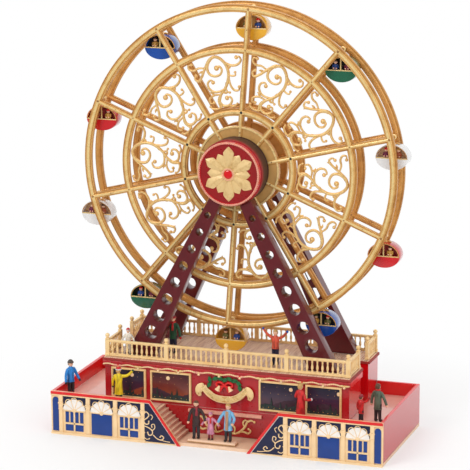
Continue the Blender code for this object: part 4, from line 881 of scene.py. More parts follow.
def build_legs():
    foot_z, head = DECK_TOP_Z + SEAT, DRUM_RADIUS + SEAT
    outer, inner = edge_at_drum(1, head), edge_at_drum(-1, head)
    start = math.atan2(outer[1] - WHEEL_Z, outer[0])
    end = math.atan2(inner[1] - WHEEL_Z, inner[0])
    outline = [(leg_middle(foot_z) - leg_half(foot_z), foot_z),
               (leg_middle(foot_z) + leg_half(foot_z), foot_z)]
    outline += arc((0, WHEEL_Z), head, start, end, 12)
    for depth_name, front_y, holes in (("front", LEG_FRONT_Y, 8), ("rear", REAR_LEG_FRONT_Y, 7)):
        rounds = []
        for hole in range(holes):
            share = hole / 7
            z = TOP_HOLE_Z + share * (LAST_HOLE_Z - TOP_HOLE_Z)
            radius = TOP_HOLE_RADIUS + share * HOLE_GROWTH
            rounds.append(arc((leg_middle(z), z), radius, 0, 2 * math.pi, 40)[:-1])
        for side in ("left", "right"):
            node = f"{depth_name}_{side}_leg"
            if node == "rear_right_leg":
                dressed(node, "base", lambda place, normal: MAROON)
                continue
            lines = [outline] + rounds
            if side == "left":
                lines = [mirrored(line) for line in lines]
            leg = Piece(MAROON)
            leg.plate(lines, front_y, front_y + LEG_DEPTH, MAROON, 0.55)
            foot_x = leg_middle(foot_z) * (1 if side == "right" else -1)
            leg.block((foot_x - LEG_FOOT_HALF - 0.8, front_y - 0.8, foot_z),
                      (foot_x + LEG_FOOT_HALF + 0.8, front_y + LEG_DEPTH + 0.8, foot_z + 1.6), MAROON, 0.5)
            leg.done(node + "_painted", "base", "maroon_plastic", node)


# Base and its fronts


FIRST_BAY_X, BAY_PITCH, BAYS = 82.5, 27.2, 3
# The scrolls on the dark triangle by the steps, with each stem's radius
CORNER_SCROLLS = (
    (((68, 27), (65.6, 30.2), (62.6, 27.4), (64.6, 24.2), (67.6, 21.8), (66.2, 18.4), (63.2, 18.8),
      (62.8, 21.2)), 0.55),
    (((67.6, 16.4), (63.4, 15.2), (59.6, 12.4), (59.8, 8.8), (62.8, 8.0), (64.0, 10.4)), 0.55),
    (((59.6, 12.4), (57.0, 15.4), (57.6, 18.8), (60.2, 18.0), (59.8, 16.0)), 0.45),
    (((58.6, 8.6), (55.0, 5.4), (50.8, 4.4), (48.2, 6.8), (50.4, 8.6), (51.8, 7.2)), 0.5),
    (((66.8, 10.6), (68.0, 6.6), (65.4, 3.8), (62.4, 4.6)), 0.45),
    (((50.8, 4.4), (46.4, 3.4), (42.6, 3.2)), 0.4),
    (((60.4, 23.0), (59.0, 26.0), (60.6, 27.6)), 0.4),
)
# Each column's blocks from the ground up: lowest and highest z, half width, and how far behind the front
COLUMN = ((0, 2.6, 2.6, 0.0), (2.6, 24.5, 1.75, 0.45), (24.5, 25.4, 2.1, 0.1), (25.4, 29.8, 1.9, 0.35),
          (29.8, 31.2, 2.5, 0.05), (31.2, 38.4, 1.9, 0.45))


# Glossy red outside; the walls' tops and the inner faces above the terrace take the brighter trim red as
# painted light, and inner faces lower down the darker red as painted shade
def tray_finish(place, normal):
    if normal.z > 0.7:
        if place.z > 40:
            return TRIM_RED
        if place.z > 28:
            return FLOOR_CREAM
        return ROSE_CREAM
    inside = abs(place.x) < HALF_WIDTH - 1 and place.y < HALF_DEPTH - 1
    if place.z > TERRACE_Z and inside:
        return TRIM_RED
    if normal.y < -0.7 and place.y < HOUSE_FRONT_Y - 1 and 22 < place.z < 28:
        return ROSE_CREAM
    if inside:
        return HOUSE_RED_SHADED
    return TRAY_RED


def fanlight(piece, x, z, radius, y):
    """A half-round window: a white pane, a scalloped cream rim and ribs that fan out."""
    pane = arc((x, z), radius, 0, math.pi, 24)
    piece.plate([pane], y - 0.3, y + 0.3, WHITE, 0.05)
    for scallop in range(5):
        angle = math.pi * (scallop + 0.5) / 5
        middle = (x + radius * 0.86 * math.cos(angle), z + radius * 0.86 * math.sin(angle))
        bow = [Vector((middle[0] + radius * 0.27 * math.cos(angle + turn), y - 0.45,
                       middle[1] + radius * 0.27 * math.sin(angle + turn)))
               for turn in (-math.pi / 2 + math.pi * step / 8 for step in range(9))]
        piece.tube(bow, 0.38, 6, CREAM)
    for rib in range(6):
        angle = math.pi * rib / 5
        end = Vector((x + radius * 0.93 * math.cos(angle), y - 0.4, z + radius * 0.93 * math.sin(angle)))
        piece.tube([Vector((x, y - 0.4, z)), end], 0.3, 6, CREAM)
    piece.turned([(0.05, y - 1.0), (1.2, y - 0.9), (1.9, y - 0.4), (1.9, y)], (x, 0, z), "Y", 16, CREAM)
    piece.block((x - radius, y - 0.8, z - 0.5), (x + radius, y, z + 0.4), CREAM, 0.15)


def facade(side):
    piece = Piece(CREAM)
    name = "right" if side > 0 else "left"
    front, back = -HALF_DEPTH, -HALF_DEPTH + 3
    foot, top = (32, 0), (61.7, BASE_HEIGHT)
    wide, band = HALF_WIDTH, 2.5

    def spread(outline):
        return outline if side > 0 else mirrored(outline)

    def span(low_x, high_x):
        """The lower and higher x of a stretch on this side."""
        return (low_x, high_x) if side > 0 else (-high_x, -low_x)

    piece.plate([spread([foot, (wide, 0), (wide, BASE_HEIGHT), top])], back - 1.5, back, CREAM, 0.1)
    slope = (Vector(top) - Vector(foot)).normalized()
    inward = Vector((slope.y, -slope.x))
    inner_low = Vector((foot[0] + band / slope.y, 0))
    corner = Vector((top[0] + band * (1 - slope.x) / slope.y * 0.62, BASE_HEIGHT - band))
    trim = [foot, tuple(inner_low), tuple(corner), (wide, BASE_HEIGHT - band), (wide, BASE_HEIGHT), top]
    piece.plate([spread(trim)], front, back - 1.4, TRIM_RED, 0.3)
    line = [inner_low + inward * 0.32 + slope * 1.2, corner + inward * 0.32 - Vector((0, 0.35)),
            Vector((wide - 0.6, BASE_HEIGHT - band - 0.35))]
    piece.tube(upright(line, front + 1.15, side), 0.42, 6, WHITE)

    # The dark triangle by the steps, with scrolls
    edge_x = 69.6
    triangle = [(inner_low.x + 1.3, 1.6), (edge_x, 1.6), (edge_x, BASE_HEIGHT - band - 0.8),
                (corner.x + 0.8, BASE_HEIGHT - band - 0.8)]
    piece.plate([spread(triangle)], front + 0.9, back - 1.4, NAVY, 0.15)
    for points, width in CORNER_SCROLLS:
        stem = smooth_line(upright(points, front + 0.75, side), 4)
        piece.tube(stem, [width] * len(stem), 7, CREAM)
        piece.ball(stem[-1], width * 1.45, CREAM, 5, 8)

    # Three arched bays and the tall end panel
    for bay in range(BAYS):
        middle = (FIRST_BAY_X + BAY_PITCH * bay) * side
        half = 11.3
        corners = rectangle((middle - half, 24), (middle + half, BASE_HEIGHT - band - 1.2))
        piece.plate([corners], front + 1.25, back - 1.4, NAVY, 0.05)
        fanlight(piece, middle, 24, 11.1, front + 0.95)
        if bay == 1:
            piece.block((middle - 10.1, front + 0.9, 3), (middle + 10.1, back - 1.4, 23.2), BLUE, 0.2)
        else:
            for pane in range(4):
                x = middle + (-9.0 + 4.83 * pane)
                piece.block((x, front + 1.1, 12.4), (x + 3.3, back - 1.4, 22.6), BLUE, 0.15)
            for pane in range(2):
                x = middle + (-9.0 + 9.85 * pane)
                piece.block((x, front + 1.1, 4.2), (x + 7.9, back - 1.4, 10.3), BLUE, 0.15)
            for low_x, low_z, high_x, high_z in ((-9.8, 10.6, 9.8, 12.1), (-0.75, 3.4, 0.75, 23)):
                piece.block((middle + low_x, front + 0.6, low_z),
                            (middle + high_x, front + 1.7, high_z), CREAM, 0.2)
    columns = [FIRST_BAY_X + BAY_PITCH * (bay - 0.5) for bay in range(BAYS + 1)]
    for x in columns:
        for low_z, high_z, half, behind in COLUMN:
            low_x, high_x = span(x - half, x + half)
            piece.block((low_x, front + behind, low_z + 0.02), (high_x, front + 1.8, high_z), CREAM, 0.25)
    low_x, high_x = span(columns[0], HALF_WIDTH - 0.05)
    piece.block((low_x, front + 0.15, 0.02), (high_x, front + 1.8, 2.2), CREAM, 0.3)
    piece.block((low_x, front + 0.2, BASE_HEIGHT - band - 1.3),
                (high_x, front + 1.8, BASE_HEIGHT - band - 0.1), CREAM, 0.2)
    low_x, high_x = span(152.6, 158.6)
    panel = rectangle((low_x, 3.2), (high_x, 33))[:2] + arc(((low_x + high_x) / 2, 33), 3, 0, math.pi, 10)
    piece.plate([panel], front + 0.7, back - 1.4, BLUE, 0.2)
    piece.done(f"{name}_front_painted", "base", "cream_plastic", f"{name}_facade")


def build_base():
    dressed("base_tray", "base", tray_finish, 0.4)
    dressed("base_plate", "base",
            lambda place, normal: BLACK if normal.z < -0.5 else STAIR_CREAM, 0.3)
    facade(-1)
    facade(1)
    for node in ("left_stairs", "right_stairs"):
        # Treads in cream, risers and sides in brown as painted shade
        dressed(node, "base",
                lambda place, normal: STAIR_CREAM if normal.z > 0.7 else STAIR_RISER_SHADE, 0.35)


# House


GARLAND_Z, GARLAND_WAVES = 62.6, 12
# The pictures' lowest and highest z, and the middle and width of each on one side
PICTURE_LOW_Z, PICTURE_HIGH_Z, PICTURES = 31.5, 60.5, ((53.2, 40.5), (95, 34.5))
SKY_LOW_Z, SKY_HEIGHT = 33, 26


def house_outline(offset):
    """The house's outline from above, notched at both sides, this much wider except at the back."""
    wide, narrow = HOUSE_HALF_WIDTH + offset, HOUSE_HALF_WIDTH - NOTCH_DEPTH + offset
    half = [(wide, HOUSE_FRONT_Y - offset), (wide, NOTCH_FRONT_Y + offset),
            (narrow, NOTCH_FRONT_Y + offset), (narrow, NOTCH_BACK_Y - offset),
            (wide, NOTCH_BACK_Y - offset), (wide, HALF_DEPTH)]
    return half + mirrored(half)


def build_deck():
    deck = Piece(DECK_BOARD)
    proud = 1.8
    slot_x = leg_middle(DECK_TOP_Z - DECK_THICKNESS / 2)
    slot_half = leg_half(DECK_TOP_Z) - 2.6
    slot = rectangle((slot_x - slot_half, 52.9), (slot_x + slot_half, 56.1))
    top = DECK_TOP_Z - 0.5
    deck.plate([house_outline(proud), slot], DECK_TOP_Z - DECK_THICKNESS, top, DECK_GROOVE, 0.3,
               standing=False)
    pitch = 2.24
    count = int((HOUSE_HALF_WIDTH + proud) * 2 / pitch)
    start = -count * pitch / 2
    front_y, back_y = HOUSE_FRONT_Y - proud + 0.2, HALF_DEPTH - 0.2
    for board in range(count):
        low_x, high_x = start + board * pitch + 0.26, start + (board + 1) * pitch - 0.26
        spans = [(front_y, back_y)]
        if max(abs(low_x), abs(high_x)) > HOUSE_HALF_WIDTH - NOTCH_DEPTH + proud:
            spans = [(front_y, NOTCH_FRONT_Y + proud - 0.1), (NOTCH_BACK_Y - proud + 0.1, back_y)]
        elif high_x > slot_x - slot_half and low_x < slot_x + slot_half:
            spans = [(front_y, 52.6), (56.4, back_y)]
        for low_y, high_y in spans:
            deck.block((low_x, low_y, top - 0.2), (high_x, high_y, DECK_TOP_Z), DECK_BOARD, 0.16)
    deck.done("deck_planked", "base", "cream_plastic", "deck")


def railing(node, start, end, bays, gap=0.0):
    """Two rails with turned balusters between ball-topped posts."""
    rail = Piece(CREAM_GOLD)
    start, end = Vector(start), Vector(end)
    along = (end - start).normalized()
    rail.move(Matrix.Translation((start.x, start.y, 0)) @ Matrix.Rotation(math.atan2(along.y, along.x),
                                                                          4, "Z"))
    length, low, high = (end - start).length, DECK_TOP_Z + SEAT, RAIL_TOP_Z
    for low_z, high_z, half in ((low, low + 2.0, 1.0), (low + 2.0, low + 2.6, 0.7),
                                (high - 2.7, high - 1.9, 0.7), (high - 1.9, high, 1.25)):
        rail.block((gap, -half, low_z), (length, half, high_z), CREAM_GOLD, 0.3)
    for post in range(bays + 1):
        if gap and post == 0:
            continue
        x = length * post / bays
        rail.block((x - 1.9, -1.5, low), (x + 1.9, 1.5, high + 0.9), CREAM_GOLD, 0.35)
        rail.block((x - 2.3, -1.8, low), (x + 2.3, 1.8, low + 2.3), CREAM_GOLD, 0.35)
        rail.turned([(2.1, high + 0.6), (2.2, high + 1.1), (1.5, high + 1.7),
                     (1.0, high + 2.0), (1.2, high + 2.4)], (x, 0, 0), "Z", 14, CREAM_GOLD)
        rail.ball((x, 0, POST_TOP_Z - 2.1), 2.1, CREAM_GOLD, 9, 16)
    step = length / bays
    for bay in range(bays):
        count = max(int(round(step / 4.9)) - 1, 1)
        for place in range(count):
            x = step * bay + step * (place + 1) / (count + 1)
            if x < gap + 1:
                continue
            profile = [(1.05, 2.4), (1.05, 3.4), (0.62, 3.9), (0.95, 4.8), (1.25, 6.2), (1.1, 7.8),
                       (0.72, 9.4), (0.62, 10.6), (0.95, 11.2), (0.7, 11.7), (1.0, 12.4), (1.0, 13.5)]
            rail.turned([(wide, low + lift) for wide, lift in profile], (x, 0, 0), "Z", 10, CREAM_GOLD)
    rail.done(node + "_turned", "base", "pale_gold_plastic", node)


def build_railings():
    wide = HOUSE_HALF_WIDTH - RAIL_INSET + 0.9
    front_y, rear_y = HOUSE_FRONT_Y + RAIL_INSET, HALF_DEPTH - RAIL_INSET
    railing("front_railing", (-wide, front_y), (wide, front_y), 4)
    railing("rear_railing", (-wide, rear_y), (wide, rear_y), 4)
    for side, x in (("left", -wide), ("right", wide)):
        railing(f"{side}_front_side_railing", (x, front_y), (x, NOTCH_FRONT_Y - RAIL_INSET), 1, 1.9)
        railing(f"{side}_rear_side_railing", (x, rear_y), (x, NOTCH_BACK_Y + RAIL_INSET), 1, 1.9)


def build_house():
    def wall_finish(place, normal):
        # Front-facing faces take the darker red as painted shade
        if normal.y < -0.7 and place.y < HOUSE_FRONT_Y + 1:
            return HOUSE_RED_SHADED
        return TRAY_RED
    dressed("house_walls", "base", wall_finish, 0.35)
    # The cornice's front-facing faces take the darker red as painted shade, the rest the brighter trim red
    # as painted light
    dressed("cornice", "base", lambda place, normal: TRIM_RED if normal.y > -0.5
            else HOUSE_RED_SHADED, 0.5)

    garland = Piece(ROSE_CREAM)
    y = HOUSE_FRONT_Y - 2.2
    half = HOUSE_HALF_WIDTH + 1
    steps = 240
    for strand in range(2):
        line = []
        for step in range(steps + 1):
            share = step / steps
            x = -half + 2 * half * share
            sway = math.sin(share * 2 * math.pi * GARLAND_WAVES)
            twist = share * 2 * math.pi * 60 + math.pi * strand
            line.append(Vector((x, y + 0.38 * math.cos(twist),
                                GARLAND_Z + 0.75 * sway + 0.38 * math.sin(twist))))
        garland.tube(line, 0.48, 6, CREAM)
    for place in range(GARLAND_WAVES):
        x = -half + 2 * half * (place + 0.75) / GARLAND_WAVES
        z = GARLAND_Z - 0.7
        for side in (-1, 1):
            leaf = smooth_line([(x, y, z), (x + side * 2.0, y - 0.7, z + 0.7),
                                (x + side * 4.4, y - 0.3, z + 0.3)], 4)
            garland.tube(leaf, [0.4, 0.7, 0.9, 1.0, 1.0, 0.9, 0.7, 0.45,
                                0.15], 7, BRIGHT_GOLD_AND_HIGHLIGHT if place % 2 else ROSE_CREAM, flat=0.5)
        garland.turned([(0.2, 0.6), (0.7, 0.3), (0.9, -0.6), (1.4, -1.5),
                        (1.2, -1.6), (0.05, -1.1)], (x, y - 0.6, z), "Z", 12, CREAM)
        garland.ball((x, y - 0.9, z + 0.9), 0.8, TRIM_RED if place % 3 == 0 else BRIGHT_GOLD_AND_HIGHLIGHT, 5, 8)
    garland.done("garland", "base", "cream_plastic")


NIGHT = Finish("night_sky", (0.02, 0.012, 0.03), 0.35, 0.0, 0.6)
DUSK = Finish("dusk_sky", (0.2, 0.03, 0.02), 0.35, 0.0, 0.6)


def sky_finishes():
    """Two evening skies that glow towards the ground, with soft clouds."""
    for finish, stops in ((NIGHT, ((0.0, (0.10, 0.02, 0.03)), (0.5, (0.045, 0.02, 0.05)),
                                   (1.0, (0.01, 0.01, 0.03)))), (DUSK, ((0.0, (0.35, 0.07, 0.02)),
                                                                        (0.45, (0.17, 0.03, 0.02)),
                                                                        (1.0, (0.06, 0.01, 0.015))))):
        height = (finish.axes()[2] - SKY_LOW_Z) * (1 / SKY_HEIGHT) + (finish.noise(9) - 0.5) * 0.5
        finish.feed("Base Color", finish.ramp(height, *stops))
        finish.bump(finish.noise(1.2), 0.04, 0.5)


def build_pictures():
    sky_finishes()
    hill_dark = painted("hill_dark", (0.05, 0.015, 0.03), 0.5, 0.2, 0.7)
    hill_warm = painted("hill_warm", (0.30, 0.05, 0.015), 0.5, 0.2, 0.7)
    pine = painted("pine_paint", (0.02, 0.04, 0.035), 0.5, 0.2, 0.6, 2)
    lamp = painted("lamp_yellow", (0.85, 0.42, 0.10), 0.4, 0.2, 0.9)
    back = HOUSE_FRONT_Y - SEAT
    front = back - 2.2
    low, high = PICTURE_LOW_Z, PICTURE_HIGH_Z
    number = 1
    for side in (-1, 1):
        for x, wide in PICTURES:
            middle, half = side * x, wide / 2
            piece = Piece(CREAM_GOLD)
            for inset, near, far in ((0.0, front + 0.7, back), (0.55, front, front + 1)):
                outer = rectangle((middle - half + inset, low + inset), (middle + half - inset,
                                                                         high - inset))
                width = 2 - inset * 0.4
                inner = rectangle((middle - half + width, low + width), (middle + half - width,
                                                                         high - width))
                piece.plate([outer, inner], near, far, CREAM_GOLD, 0.28)
            panel = back - 1.0
            left, right = middle - half + 1.8, middle + half - 1.8
            piece.block((left, panel, low + 1.8), (right, back - 0.1, high - 1.8),
                        DUSK if x < 60 and side < 0 else NIGHT, 0.05)
            wide_in = right - left

            def ridge(base, swell, waves, start, finish, depth):
                crest = [(left + wide_in * step / 24, low + base + swell * math.sin(
                    start + waves * 2 * math.pi * step / 24) + 0.4 * math.sin(step * 2.4 + start))
                    for step in range(25)]
                piece.plate([[(right, low + 2), *reversed(crest), (left, low + 2)]], panel - depth,
                            panel + 0.1, finish, 0.1)
            ridge(9, 3.0, 0.8, number * 1.3, hill_warm if number == 2 else hill_dark, 0.25)
            ridge(5.5, 1.6, 1.4, number * 2.1, pine, 0.45)
            for tree in range(5):
                tree_x = left + wide_in * (tree + 0.5 + 0.25 * math.sin(tree * 3 + number)) / 5
                tall = 7 + 3 * math.sin(tree * 2.3 + number * 1.7)
                foot = low + 3.4
                outline = [(tree_x + 1.5, foot), (tree_x + 0.5, foot + tall * 0.4),
                           (tree_x + 1.1, foot + tall * 0.4), (tree_x, foot + tall),
                           (tree_x - 1.1, foot + tall * 0.4), (tree_x - 0.5, foot + tall * 0.4),
                           (tree_x - 1.5, foot)]
                piece.plate([outline], panel - 0.75, panel + 0.1, pine, 0.1)
            moon_x = left + wide_in * (0.25 + 0.18 * number)
            piece.turned([(0.05, panel - 0.35), (1.6, panel - 0.3), (1.9, panel)],
                         (moon_x, 0, high - 6.5), "Y", 20, CREAM)
            for star in range(9):
                star_x = left + wide_in * ((star * 0.37 + number * 0.21) % 0.94 + 0.03)
                star_z = high - (3.4 + (star * 5.3 + number * 2.9) % 11)
                piece.ball((star_x, panel - 0.1, star_z), 0.26, lamp, 4, 6)
            for light in range(7):
                light_x = left + wide_in * (light + 0.5) / 7
                piece.ball((light_x, panel - 0.55, low + (3.6 + 0.5 * (light % 2))), 0.38, lamp, 4, 6)
            piece.done(f"framed_scene_{number}", "base", "pale_gold_plastic", f"picture_{number}")
            number += 1


# The scrolls low on the house wall, with each stem's radius
WALL_SCROLLS = (
    (((2, 9), (8, 6.5), (14, 8.5), (19, 13.5), (21.5, 18.5), (25.5, 20.6), (28.6, 19.4)), 1.0),
    (((14, 8.5), (18.4, 9.0), (22.4, 8.0), (24.8, 10.4), (22.8, 12.2)), 0.85),
    (((19, 13.5), (17.4, 17.4), (19.4, 20.4), (21.6, 19.6)), 0.75),
    (((8, 6.5), (9.6, 10.6), (8.0, 13.8), (5.4, 12.8), (6.2, 11.0)), 0.8),
)
# Each holly leaf's middle and the way that it lies, in degrees
HOLLY = ((-15, 52, 60), (-14.5, 56.5, 100), (-9, 58, 20), (-4, 58.5, 160), (0.5, 57.6, 30), (5, 58.6, 150),
         (9.5, 57.4, 10), (13.5, 55.4, -40), (14.6, 51.0, -80))


def build_ribbon():
    piece = Piece(CREAM_GOLD)
    y = HOUSE_FRONT_Y - 1.5

    def swept(side, steps, *points):
        """A smooth line through points: x on this side, how far in front of the ribbon's middle, and z."""
        return smooth_line([(side * x, y - front, z) for x, front, z in points], steps)

    for side in (-1, 1):
        band = swept(side, 6, (0, 0, 38.6), (7, 0.2, 39.4), (13.5, 0.5, 42.2), (18.6, 0.9, 46.6),
                     (21, 0.6, 49.4))
        piece.tube(band, [3.1 + 0.25 * math.sin(step * 0.6) for step in range(len(band))], 12, BRIGHT_GOLD_AND_HIGHLIGHT,
                   flat=0.30)
        for rise in (3.0, -3.0):
            edge = [point + Vector((0, -0.7, rise)) for point in band]
            piece.tube(edge, 0.42, 6, CREAM)
        lobe = swept(side, 6, (20, 0, 50.6), (23.6, 0.9, 48.6), (25.2, 1.1, 44.4), (24, 0.6, 40.4))
        piece.tube(lobe, [1.6 + 2.2 * math.sin(math.pi * min((step + 2) / len(lobe), 1)) for step in
                          range(len(lobe))], 12, CREAM_GOLD, flat=0.32)
        # Each fold is a dark middle line of painted shade between two lines of painted highlight
        for fold in range(3):
            crease = [point + Vector((side * (fold - 1) * 1.1, -0.75, 0)) for point in lobe[2:-3]]
            piece.tube(crease, 0.3, 6, GOLD_SHADE if fold == 1 else BRIGHT_GOLD_AND_HIGHLIGHT)
    piece.block((-2.5, y - 0.9, 36), (2.5, y + 1.2, 41.5), GOLD, 0.6)

    # Holly, bow and bells over the ribbon
    for x, z, turn in HOLLY:
        lean = math.radians(turn)
        outline = []
        for step in range(24):
            swing = 2 * math.pi * step / 24
            spike = 1 + (0.22 if step % 4 == 2 else -0.10 if step % 4 == 0 else 0)
            along, across = 3.1 * math.cos(swing) * spike, 1.75 * math.sin(swing) * spike
            outline.append((x + (along * math.cos(lean) - across * math.sin(lean)),
                            z + (along * math.sin(lean) + across * math.cos(lean))))
        piece.plate([outline], y - 0.5, y + 0.4, LEAF_GREEN, 0.2)
        vein = [Vector((x + t * math.cos(lean), y - 0.55, z + t * math.sin(lean))) for t in (-2.6, 0, 2.6)]
        piece.tube(vein, 0.22, 6, LEAF_GREEN)
    for side in (-1, 1):
        loop = swept(side, 5, (0, 1, 52.6), (3.6, 1.6, 55.4), (7.6, 1.2, 54.2), (7, 1, 51.6), (3, 1.2, 51.4),
                     (0, 1, 52.4))
        piece.tube(loop, 0.95, 8, TRIM_RED, flat=0.75)
        tail = swept(side, 5, (0.6, 1.2, 52), (3.4, 1.3, 48.6), (5.4, 1, 46.2))
        piece.tube(tail, [0.8] * 5 + [1.3] * 6, 8, TRIM_RED, flat=0.45)
        bell = Matrix.Translation((side * 5.6, y - 1.6, 49.8)) @ Matrix.Rotation(
            math.radians(-28 * side), 4, "Y")
        piece.move(bell)
        piece.turned([(0.1, 2.6), (0.9, 2.3), (1.3, 1.0), (1.7, -0.8),
                      (2.6, -2.2), (2.3, -2.3), (0.1, -1.4)], (0, 0, 0), "Z", 20, CREAM)
        piece.ball((0, 0, -2.2), 0.6, BRIGHT_GOLD_AND_HIGHLIGHT, 5, 8)
        piece.move()
    piece.ball((0, y - 1.6, 52.5), (1.5, 1.0, 1.3), TRIM_RED, 7, 12)
    piece.done("ribbon_and_holly", "base", "pale_gold_plastic", "ribbon_and_sprig")

    leaves = Piece(BRIGHT_GOLD_AND_HIGHLIGHT)
    wall_y = HOUSE_FRONT_Y - 0.7
    for side in (-1, 1):
        for points, width in WALL_SCROLLS:
            stem = smooth_line(upright(points, wall_y, side), 5)
            count = len(stem) - 1
            leaves.tube(stem, [width * (0.55 + 0.6 * math.sin(math.pi * step / count)) for step in
                               range(count + 1)], 8, BRIGHT_GOLD_AND_HIGHLIGHT, flat=0.8)
            leaves.ball(stem[-1], width * 1.25, CREAM_GOLD, 6, 9)
    leaves.done("wall_scrolls", "base", "pale_gold_plastic")


# Painted people


def cloth(name, colour):
    """Matt hand-painted clothes, darker in soft upright streaks like folds."""
    finish = Finish(name, colour, 0.55, 0.0, 0.15)
    folds = finish.noise(3.2, 2.0, (1.6, 1.6, 0.5))
    finish.feed("Base Color", finish.ramp(folds, (0.34, shade(colour, 0.55)), (0.58, colour)))
    return finish.bump(folds * 0.7 + finish.noise(1.2) * 0.3, 0.12, 0.6)


CLOTH = {name: cloth(name + "_cloth", colour) for name, colour in (
    ("sky_blue", (0.02, 0.28, 0.80)), ("charcoal", (0.03, 0.025, 0.03)), ("yellow", (0.90, 0.66, 0.01)),
    ("bottle_green", (0.01, 0.09, 0.035)), ("grey_brown", (0.10, 0.08, 0.07)),
    ("scarlet", (0.70, 0.02, 0.02)), ("cream", (0.86, 0.78, 0.66)), ("maroon", (0.32, 0.02, 0.03)),
    ("orange_red", (0.72, 0.09, 0.04)), ("royal_blue", (0.01, 0.09, 0.48)),
    ("navy_trousers", (0.012, 0.016, 0.06)), ("pink", (0.75, 0.28, 0.42)),
    ("light_blue", (0.22, 0.52, 0.80)), ("tan", (0.48, 0.26, 0.14)), ("dark_brown", (0.055, 0.022, 0.02)),
    ("grey_green", (0.11, 0.15, 0.10)), ("white", (0.88, 0.86, 0.83)))}
BOOTS = painted("boot_leather", (0.025, 0.018, 0.018), 0.35, 0.3, 0.7, 2)


